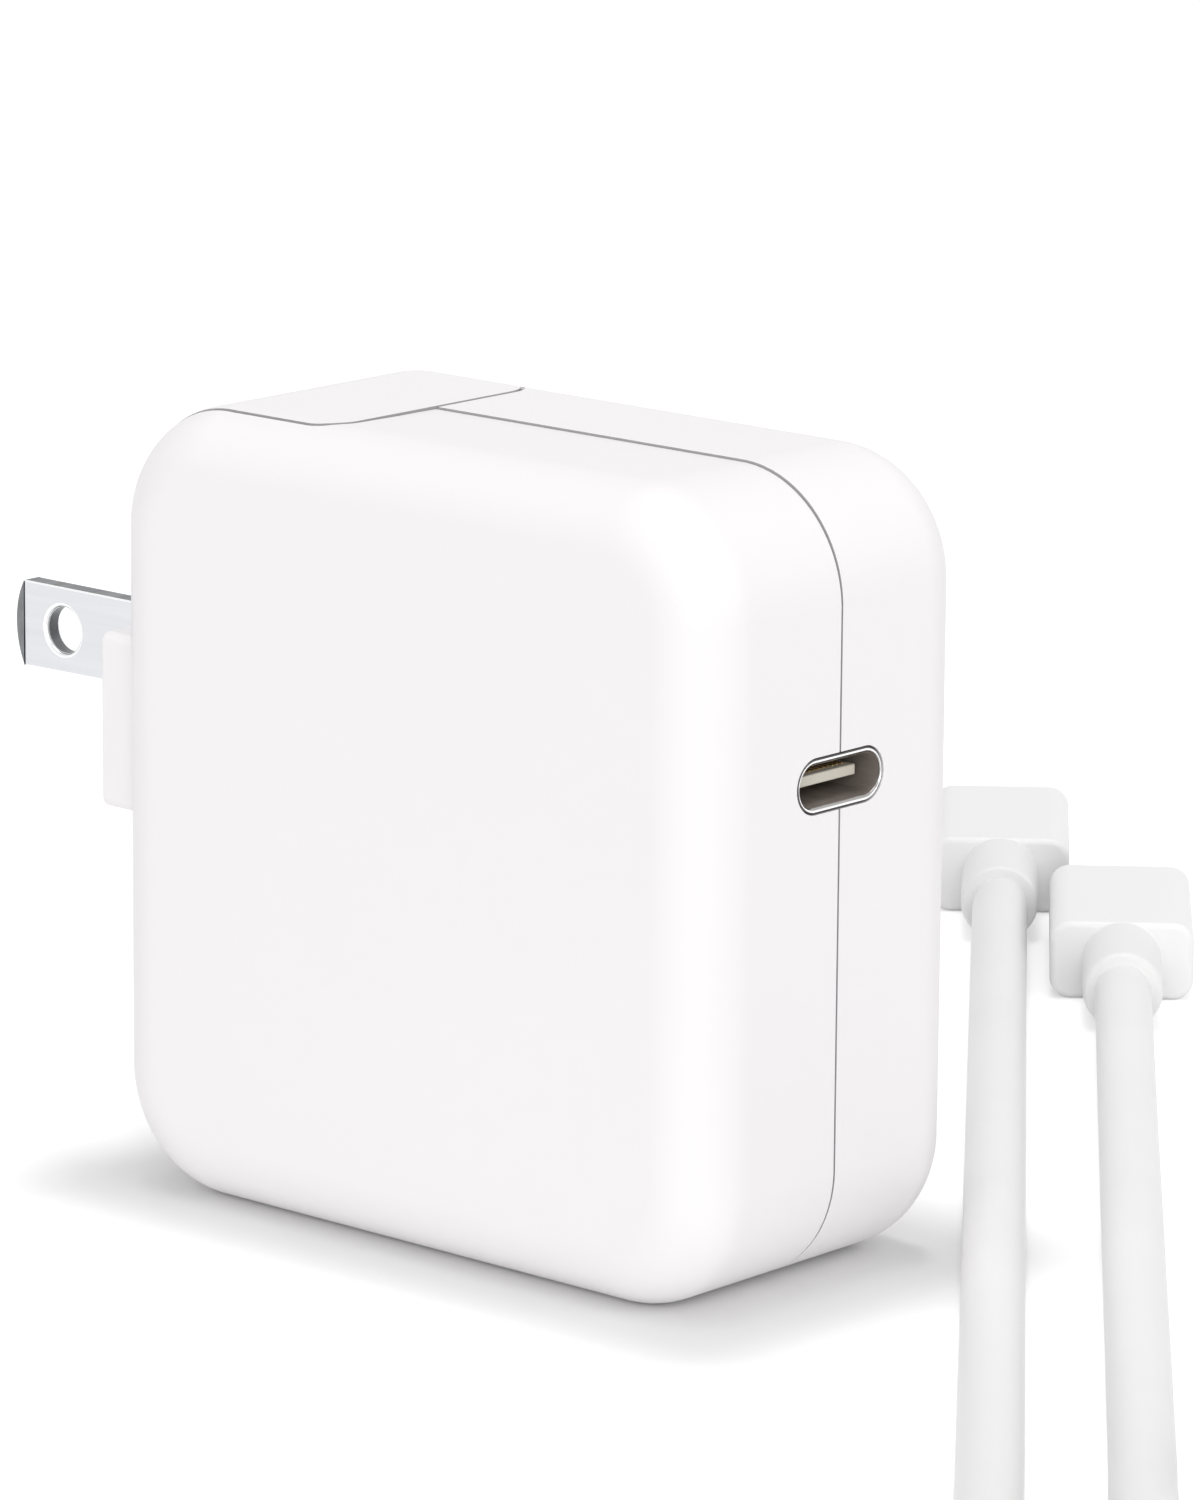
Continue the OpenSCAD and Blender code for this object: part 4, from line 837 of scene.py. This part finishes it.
def outline_arc(bm, start, centre, angle, steps):
    """A chain of edges that starts at a point and turns about a centre, seen from the front."""
    first = bm.verts.new(start)
    bmesh.ops.spin(bm, geom=[first], cent=centre, axis=(0, 1, 0), dvec=(0, 0, 0),
                   angle=angle, steps=steps, use_merge=False, use_duplicate=False)
    bm.verts.ensure_lookup_table()
    return first, bm.verts[-1]


def blade(side):
    y = side * BLADE_Y
    face_y = y - BLADE_T / 2
    arc = ((BLADE_W / 2) ** 2 + TIP_ROUND ** 2) / (2 * TIP_ROUND)
    tip_angle = math.asin(BLADE_W / 2 / arc)
    root_angle = 1.5 * math.pi - math.acos((HINGE_Z - BLADE_LOW) / ROOT_R)
    bm = bmesh.new()
    tip = outline_arc(bm, (TIP_X + TIP_ROUND, face_y, BLADE_LOW), (TIP_X + arc, face_y, BLADE_Z),
                      2 * tip_angle, 24)
    root = outline_arc(bm, (HINGE_X, face_y, BLADE_TOP), (HINGE_X, face_y, HINGE_Z),
                       root_angle, 64)
    bm.edges.new((tip[1], root[0]))
    bm.edges.new((root[1], tip[0]))
    bmesh.ops.edgeloop_fill(bm, edges=bm.edges)
    grown = bmesh.ops.extrude_face_region(bm, geom=bm.faces[:])
    bmesh.ops.translate(bm, vec=(0, BLADE_T, 0),
                        verts=[v for v in grown["geom"] if isinstance(v, bmesh.types.BMVert)])
    bmesh.ops.recalc_face_normals(bm, faces=bm.faces)
    for face in (-1, 1):
        outward = Vector((TIP_HALF - BLADE_T / 2, face * TIP_ROUND, 0)).normalized()
        cut = bmesh.ops.bisect_plane(bm, geom=[*bm.verts, *bm.edges, *bm.faces], dist=1e-5,
                                     plane_co=(TIP_X, y + face * TIP_HALF, 0),
                                     plane_no=outward, clear_outer=True)
        bmesh.ops.edgeloop_fill(bm, edges=[e for e in cut["geom_cut"]
                                           if isinstance(e, bmesh.types.BMEdge)])
    half, over = BLADE_T / 2, 0.02
    hole = loft([(2 * r, 2 * r, r, (HOLE_X, y + d, BLADE_Z)) for r, d in
                 ((HOLE_R + SINK + over, -half - over), (HOLE_R, SINK - half),
                  (HOLE_R, half - SINK), (HOLE_R + SINK + over, half + over))], ALONG_Y)
    return combine(bm, (CUT, hole),
                   (CUT, rod(AXLE_R, y - 2, y + 2, "y", (HINGE_X, HINGE_Z), COARSE)))


print("blade:", BLADE_W, "by", BLADE_T, "mm, tip", TIP_X, "to hinge", HINGE_X, "mm")

# %% [markdown]
# Both blades are the same strip on either side of the bar, so one function makes both. A face
# that looks along the axle is rolled, except the slanted ones at the tip, and all the others
# are shorn; how far each face turns from the axle tells which finish it gets, and the shorn and
# slanted faces get the painted shade. The bar is white plastic, in one piece with the axle that
# goes through the blades' roots.

# %% Blades, bar and axle
for name, side in (("front_blade", -1), ("back_blade", 1)):
    strip = blade(side)
    strip.normal_update()
    for face in strip.faces:
        along_axle = abs(face.normal.y)
        # Shorn and slanted faces take the nickel painted darker as shade; the bevel takes a
        # painted highlight.
        face.material_index = int(along_axle < 0.5 or 0.9 < along_axle < 0.97)
    piece(strip, name + "_strip", blade_nickel, "blades", [name], edge=0.1,
          more=(blade_shorn_shade, edge_highlight), edge_slot=2)

AXLE_HALF = 8.9
bar_bm = combine(rod(BAR_R, -BAR_HALF, BAR_HALF, "y", (HINGE_X, HINGE_Z), FINE),
                 (JOIN, rod(AXLE_R, -AXLE_HALF, AXLE_HALF, "y", (HINGE_X, HINGE_Z), COARSE)))
piece(bar_bm, "blade_bar", case_white, "blades", ["blade_carrier"], edge=0.12)

# %% [markdown]
# The port is a drawn steel can with a wide polished rim, and its opening flares a little to
# guide the plug in. A bevel can't give the rolled rim its changing width, so the can is a chain
# of rounded loops bridged to each other, from the back wall over the rim and down inside. Its
# rounded outer edge is painted darker as shade, its crest is painted bright as a highlight, and
# the inside and the lower flare are painted a dim brown as shade.

# %% Port
def port_section(width, height, x):
    return (width, height, height / 2, (x, 0, PORT_Z))


outside = [(8.94, 3.26, 18.8), (8.94, 3.26, 26.4), (9.1, 3.95, 26.45)]
edge_out = [(9.1, 3.95, 27.68), (9.02, 3.87, 27.84), (8.88, 3.73, 27.93), (8.7, 3.55, 27.98)]
crest = [(8.6, 3.42, 28.0)]
flare = [(8.54, 3.26, 27.97), (8.47, 2.98, 27.82), (8.4, 2.74, 27.6), (8.35, 2.58, 27.3)]
inside = [(8.34, 2.56, 26.9), (8.34, 2.56, 19.8)]
port_bm = loft([port_section(*row) for row in outside + edge_out + crest + flare + inside],
               ALONG_X)
EDGE_FROM, EDGE_TO, INSIDE_TO, CREST_FROM = 27.6, 27.97, 27.75, 27.98
port_bm.normal_update()
for face in port_bm.faces:
    middle = face.calc_center_median()
    outward = face.normal.yz.dot(middle.yz - Vector((0, PORT_Z))) > 0
    # Slot 1 paints shade on the outer edge, slot 2 paints shade inside and on the lower flare, and
    # slot 3 paints a highlight on the crest.
    face.material_index = (1 if outward and EDGE_FROM < middle.x < EDGE_TO else
                           2 if not outward and middle.x < INSIDE_TO else
                           3 if middle.x > CREST_FROM else 0)
piece(port_bm, "port_can", port_steel, "adapter", ["port_shell"],
      more=(port_shade, port_inside_shade, edge_highlight), fold=50)

# %% [markdown]
# A thin plastic tongue with gilt strips stands in the middle of the port and grows out of a
# block that closes its back. It is the part that the eye finds inside the dark opening, so it
# is modelled, although a painted patch could stand for it at this size.

# %% Tongue of the port
TONGUE_BACK, TONGUE_TIP, TONGUE_Y, TONGUE_HALF = 20.4, 26.5, 3.35, 0.38
tongue_bm = combine(loft([port_section(8.3, 2.52, x) for x in (TONGUE_BACK, 21.9)], ALONG_X),
                    (JOIN, box((TONGUE_BACK, -TONGUE_Y, PORT_Z - TONGUE_HALF),
                               (TONGUE_TIP, TONGUE_Y, PORT_Z + TONGUE_HALF))))
piece(tongue_bm, "port_tongue_plate", tongue_beige, "adapter", ["port_tongue"], edge=0.1)

# %% [markdown]
# Both ends of the cable carry the same plug: a hollow steel shell, a rounded white grip and a
# short sleeve that takes the cable. All three have round or rounded sections along one axis, so
# each is a loft with its own list of sections, from the tip backwards.

# %% Shapes of a cable plug
SHELL_W, SHELL_T, SHELL_LEN = 8.25, 2.4, 6.65
GRIP_W, GRIP_LEN, GRIP_R = 11.2, 19.2, 1.6
SLEEVE_D, SLEEVE_LEN = 6.2, 9.6


def along_plug(sections):
    """Loops along the plug's axis, each as (width, thickness, corner, distance from the tip)."""
    return loft([(w, t, r, (0, -d, 0)) for w, t, r, d in sections], ALONG_Y)


def plug_shell():
    w, t = SHELL_W, SHELL_T
    rows = [(w, t, 7.85), (w, t, 0.35), (w - 0.08, t - 0.08, 0.1), (w - 0.24, t - 0.24, 0),
            (w - 0.44, t - 0.44, 0.04), (w - 0.5, t - 0.5, 0.2), (w - 0.5, t - 0.5, 7.05)]
    return along_plug([(a, b, b / 2, d) for a, b, d in rows])


def plug_grip():
    start, end, soft = SHELL_LEN, SHELL_LEN + GRIP_LEN, 0.5
    rows = [(GRIP_W - 2 * soft * (1 - math.sin(a)), GRIP_T - 2 * soft * (1 - math.sin(a)),
             GRIP_R - soft * (1 - math.sin(a)), soft * (1 - math.cos(a)))
            for a in (math.radians(k) for k in (0, 22.5, 45, 67.5, 90))]
    bm = along_plug([(w, t, r, start + d) for w, t, r, d in rows]
                    + [(w, t, r, end - d) for w, t, r, d in rows[::-1]])
    mouth = along_plug([(SHELL_W, SHELL_T, SHELL_T / 2, start - 1),
                        (SHELL_W, SHELL_T, SHELL_T / 2, start + 1.2)])
    return combine(bm, (CUT, mouth))


def plug_sleeve():
    start, radius = SHELL_LEN + GRIP_LEN, SLEEVE_D / 2
    rows = [(radius, 0), (radius, SLEEVE_LEN - 0.6), (radius - 0.06, SLEEVE_LEN - 0.3),
            (radius - 0.22, SLEEVE_LEN - 0.08), (radius - 0.5, SLEEVE_LEN)]
    return along_plug([(2 * r, 2 * r, r, start + d) for r, d in rows])


print("plug:", GRIP_W, "by", GRIP_T, "mm, shell", SHELL_W, "by", SHELL_T, "mm")

# %% [markdown]
# The plugs lie flat on the table where the cable ends. Each is made along its own axis and
# turned as it is finished, so both come out the same. The plugs ride on the adapter's body, as
# the cable does.

# %% Cable plugs
for end, tip in TIPS.items():
    laid = cable_frame @ Matrix.Translation(tip)
    for part, shape, material, slot in (("shell", plug_shell(), port_steel, "plug_metal"),
                                        ("grip", plug_grip(), grip_white, "grip"),
                                        ("sleeve", plug_sleeve(), cable_white, "grip")):
        node = f"plug_{end}_{part}"
        piece(shape, node + "_made", material, "adapter", [node],
                                 turn=laid)

# %% [markdown]
# What stays hidden until the module slides off, and what never shows, keeps its solid. It could
# all be grey, but someone who opens the case should find what a real one holds: a green board,
# copper, ferrite, lacquered wire and tape. So every such node gets the finish of its material.

# %% Finishes of the kept solids
green_board = finish("green_board", (0.02, 0.14, 0.07), matt=(0.3, 0.42), drift=0.25, size=2.0)
amber_film = finish("amber_film", (0.62, 0.50, 0.18), matt=(0.15, 0.25), drift=0.08)
copper_sheet = finish("copper_sheet", (0.80, 0.42, 0.27), effect="lines", metal=1.0,
                      matt=(0.25, 0.4), drift=0.1, along=(0.05, 1, 1))
grey_pad = finish("grey_pad", (0.33, 0.36, 0.42), matt=(0.7, 0.85), drift=0.1, bump=0.03)
pin_nickel = finish("pin_nickel", (0.76, 0.75, 0.73), effect="lines", metal=1.0,
                    matt=(0.16, 0.28), drift=0.08, along=(1, 1, 0.05))
spring_bronze = finish("spring_bronze", (0.76, 0.56, 0.33), effect="lines", metal=1.0,
                       matt=(0.22, 0.36), drift=0.1, along=(1, 1, 0.05))
steel_plate = finish("steel_plate", (0.58, 0.58, 0.58), effect="lines", metal=1.0,
                     matt=(0.24, 0.4), drift=0.1, along=(1, 0.05, 1))
grey_ferrite = finish("grey_ferrite", (0.05, 0.05, 0.055), matt=(0.5, 0.65), drift=0.3, bump=0.02)
lacquered_wire = finish("lacquered_wire", (0.55, 0.20, 0.07), matt=(0.2, 0.32), drift=0.2,
                        size=1.0, bump=0.05)
yellow_tape = finish("yellow_tape", (0.76, 0.55, 0.06), matt=(0.22, 0.34), drift=0.1)
black_former = finish("black_former", (0.03, 0.03, 0.032), matt=(0.4, 0.5), drift=0.2)
brown_fuse = finish("brown_fuse", (0.20, 0.09, 0.045), matt=(0.3, 0.4), drift=0.15)
yellow_block = finish("yellow_block", (0.80, 0.50, 0.03), matt=(0.28, 0.4), drift=0.08)
blue_disc = finish("blue_disc", (0.03, 0.11, 0.38), matt=(0.25, 0.38), drift=0.15)
black_package = finish("black_package", (0.022, 0.022, 0.024), matt=(0.5, 0.62), drift=0.2,
                       bump=0.012)
dark_sleeve = finish("dark_sleeve", (0.025, 0.035, 0.09), matt=(0.18, 0.3), drift=0.2)
bare_can = finish("bare_can", (0.78, 0.78, 0.79), effect="lines", metal=1.0, matt=(0.2, 0.32),
                  drift=0.08, along=(1, 0.05, 1))
gilt = finish("gilt", (0.86, 0.62, 0.26), effect="lines", metal=1.0, matt=(0.14, 0.26),
              drift=0.06, along=(0.05, 1, 1))
woven_strap = finish("woven_strap", (0.84, 0.835, 0.83), matt=(0.7, 0.85), drift=0.08, size=1.6,
                     bump=0.06)
print("finishes in all:", len(bpy.data.materials))

# %% [markdown]
# One table says which nodes wear which finish. The solids come as loose triangles, so a weld
# joins them first. Then a narrow bevel breaks the edges, a still narrower one on the thinnest
# parts, and even shading keeps the flat faces flat.

# %% Kept solids
KEPT = {
    inner_white: ["plug_cover", "socket_nose", "inlet_well", "axle_clips"],
    green_board: ["main_board", "port_board"],
    amber_film: ["insulating_film"],
    copper_sheet: ["heat_spreader"],
    grey_pad: ["thermal_pad"],
    pin_nickel: ["inlet_pins", "ground_stud"],
    spring_bronze: ["contact_springs", "socket_contacts"],
    steel_plate: ["stud_nut", "detent_spring", "switch_heatsink"],
    grey_ferrite: ["choke_core", "transformer_core", "output_choke"],
    lacquered_wire: ["choke_windings"],
    yellow_tape: ["transformer_winding"],
    black_former: ["transformer_bobbin"],
    brown_fuse: ["fuse"],
    yellow_block: ["x_capacitor"],
    blue_disc: ["y_capacitor"],
    black_package: ["bridge_rectifier", "primary_switch", "primary_controller", "optocoupler",
                    "sync_rectifier", "power_controller"],
    dark_sleeve: ["bulk_capacitor_a", "bulk_capacitor_b", "bulk_capacitor_c"],
    bare_can: ["output_capacitor_a", "output_capacitor_b"],
    gilt: ["port_contacts"],
    woven_strap: ["cable_tie"],
}
THIN = ("port_contacts", "insulating_film")
EDGE, THIN_EDGE, WELD = 0.12, 0.03, 0.002


def dress(node, material):
    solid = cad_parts[node]
    solid.data.materials.clear()
    solid.data.materials.append(material)
    solid.data.polygons.foreach_set("use_smooth", [True] * len(solid.data.polygons))
    weld = solid.modifiers.new("weld", "WELD")
    weld.merge_threshold = WELD * MM
    break_edges(solid, THIN_EDGE if node in THIN else EDGE)
    solid.modifiers.new("even_shading", "WEIGHTED_NORMAL")


for material, nodes in KEPT.items():
    for node in nodes:
        dress(node, material)
print("kept solids:", sum(len(nodes) for nodes in KEPT.values()))

# %% [markdown]
# Table and room should look white without more light on the white plastic, which would lose
# its edges. A surface can glow for some rays and not for others: the ones that reach the eye
# straight, by a mirror or through glass see the glow, and the ones that light the object don't.

# %% Light that only the eye sees
def seen_directly(tree, strength):
    """A strength for the rays of the camera, of mirrors and of glass, and none for the rest."""
    path = add(tree, "LightPath")
    mirror = add(tree, "Math", operation="MAXIMUM")
    glass = add(tree, "Math", operation="MAXIMUM")
    scaled = add(tree, "Math", operation="MULTIPLY")
    feed(tree, strength, scaled.inputs[1])
    join(tree,
         (path.outputs["Is Camera Ray"], mirror.inputs[0]),
         (path.outputs["Is Glossy Ray"], mirror.inputs[1]),
         (mirror.outputs[0], glass.inputs[0]),
         (path.outputs["Is Transmission Ray"], glass.inputs[1]),
         (glass.outputs[0], scaled.inputs[0]))
    return scaled.outputs[0]


print("helper for seen light:", seen_directly.__name__)

# %% [markdown]
# The table is a wide pale sheet that takes the soft shadow under the adapter. Close to the
# adapter's foot it is only lit. From there its glow grows over a centimetre, so that the shadow
# keeps its depth and the sheet runs out to white.

# %% Table
GLOW_FROM, GLOW_FULL, GLOW = 0.001, 0.013, 0.34
TABLE_HALF = 6


def white_to_the_eye(name):
    """A pale matt surface that is seen brighter with distance from the adapter's foot."""
    material = bpy.data.materials.new(name)
    material.use_nodes = True
    tree = material.node_tree
    shader = tree.nodes["Principled BSDF"]
    shader.inputs["Base Color"].default_value = (0.9, 0.9, 0.9, 1)
    shader.inputs["Roughness"].default_value = 0.9
    shader.inputs["Specular IOR Level"].default_value = 0.2
    shader.inputs["Emission Color"].default_value = (1, 1, 1, 1)
    place = add(tree, "TexCoord")
    folded = add(tree, "VectorMath", operation="ABSOLUTE")
    beside = add(tree, "VectorMath", {1: (BODY_W / 2 * MM, BODY_T / 2 * MM, 0)},
                 operation="SUBTRACT")
    past_foot = add(tree, "VectorMath", {1: (0, 0, 0)}, operation="MAXIMUM")
    reach = add(tree, "VectorMath", operation="LENGTH")
    grows = add(tree, "MapRange", {"From Min": GLOW_FROM, "From Max": GLOW_FULL, "To Min": 0.0,
                                   "To Max": GLOW}, interpolation_type="SMOOTHSTEP")
    join(tree,
         (place.outputs["Object"], folded.inputs[0]),
         (folded.outputs[0], beside.inputs[0]),
         (beside.outputs[0], past_foot.inputs[0]),
         (past_foot.outputs[0], reach.inputs[0]),
         (reach.outputs["Value"], grows.inputs["Value"]),
         (seen_directly(tree, grows.outputs["Result"]), shader.inputs["Emission Strength"]))
    return material


floor_bm = bmesh.new()
bmesh.ops.create_grid(floor_bm, x_segments=1, y_segments=1, size=TABLE_HALF)
floor_mesh = bpy.data.meshes.new("table")
floor_bm.to_mesh(floor_mesh)
floor_bm.free()
floor = bpy.data.objects.new("table", floor_mesh)
bpy.context.scene.collection.objects.link(floor)
floor.data.materials.append(white_to_the_eye("table_white"))
print("table:", 2 * TABLE_HALF, "m wide")

# %% [markdown]
# A white object on white needs light from all round, with one side a little stronger so that
# its rounded edges still show. The room is an even white. Four lamps stand three metres off, so
# the whole table is lit evenly: a wide one overhead and a smaller one behind it draw the narrow
# shadow under the adapter, one over the viewer's shoulder brightens the upright edge, and a weak
# one fills the narrow side with the port.

# %% Light
ROOM_LIGHT, ROOM_GLOW = 0.56, 0.44
LAMP_AWAY, LAMP_AIM = 3.0, Vector((0, 0, 0.03))


def soft_lamp(name, compass_deg, up_deg, watts, size=1.67):
    """A square lamp that looks at the adapter from a compass angle and a height angle."""
    compass, up = math.radians(compass_deg), math.radians(up_deg)
    toward = Vector((math.sin(compass) * math.cos(up), -math.cos(compass) * math.cos(up),
                     math.sin(up)))
    light = bpy.data.lights.new(name, "AREA")
    light.shape, light.size, light.energy = "SQUARE", size, watts
    lamp = bpy.data.objects.new(name, light)
    lamp.location = LAMP_AIM + LAMP_AWAY * toward
    lamp.rotation_euler = toward.to_track_quat("Z", "Y").to_euler()
    bpy.context.scene.collection.objects.link(lamp)


room = bpy.data.worlds.new("room")
room.use_nodes = True
bpy.context.scene.world = room
glow = room.node_tree.nodes["Background"]
glow.inputs["Color"].default_value = (1, 1, 1, 1)
both = add(room.node_tree, "Math", {1: ROOM_LIGHT}, operation="ADD")
join(room.node_tree, (seen_directly(room.node_tree, ROOM_GLOW), both.inputs[0]),
     (both.outputs[0], glow.inputs["Strength"]))

soft_lamp("overhead", 0, 85, 12.5)
soft_lamp("behind", 221, 83, 12, size=0.7)
soft_lamp("shoulder", 38, 15, 30.5)
soft_lamp("port_side", 100, 30, 10.5)
bpy.context.scene.view_settings.view_transform = "Standard"
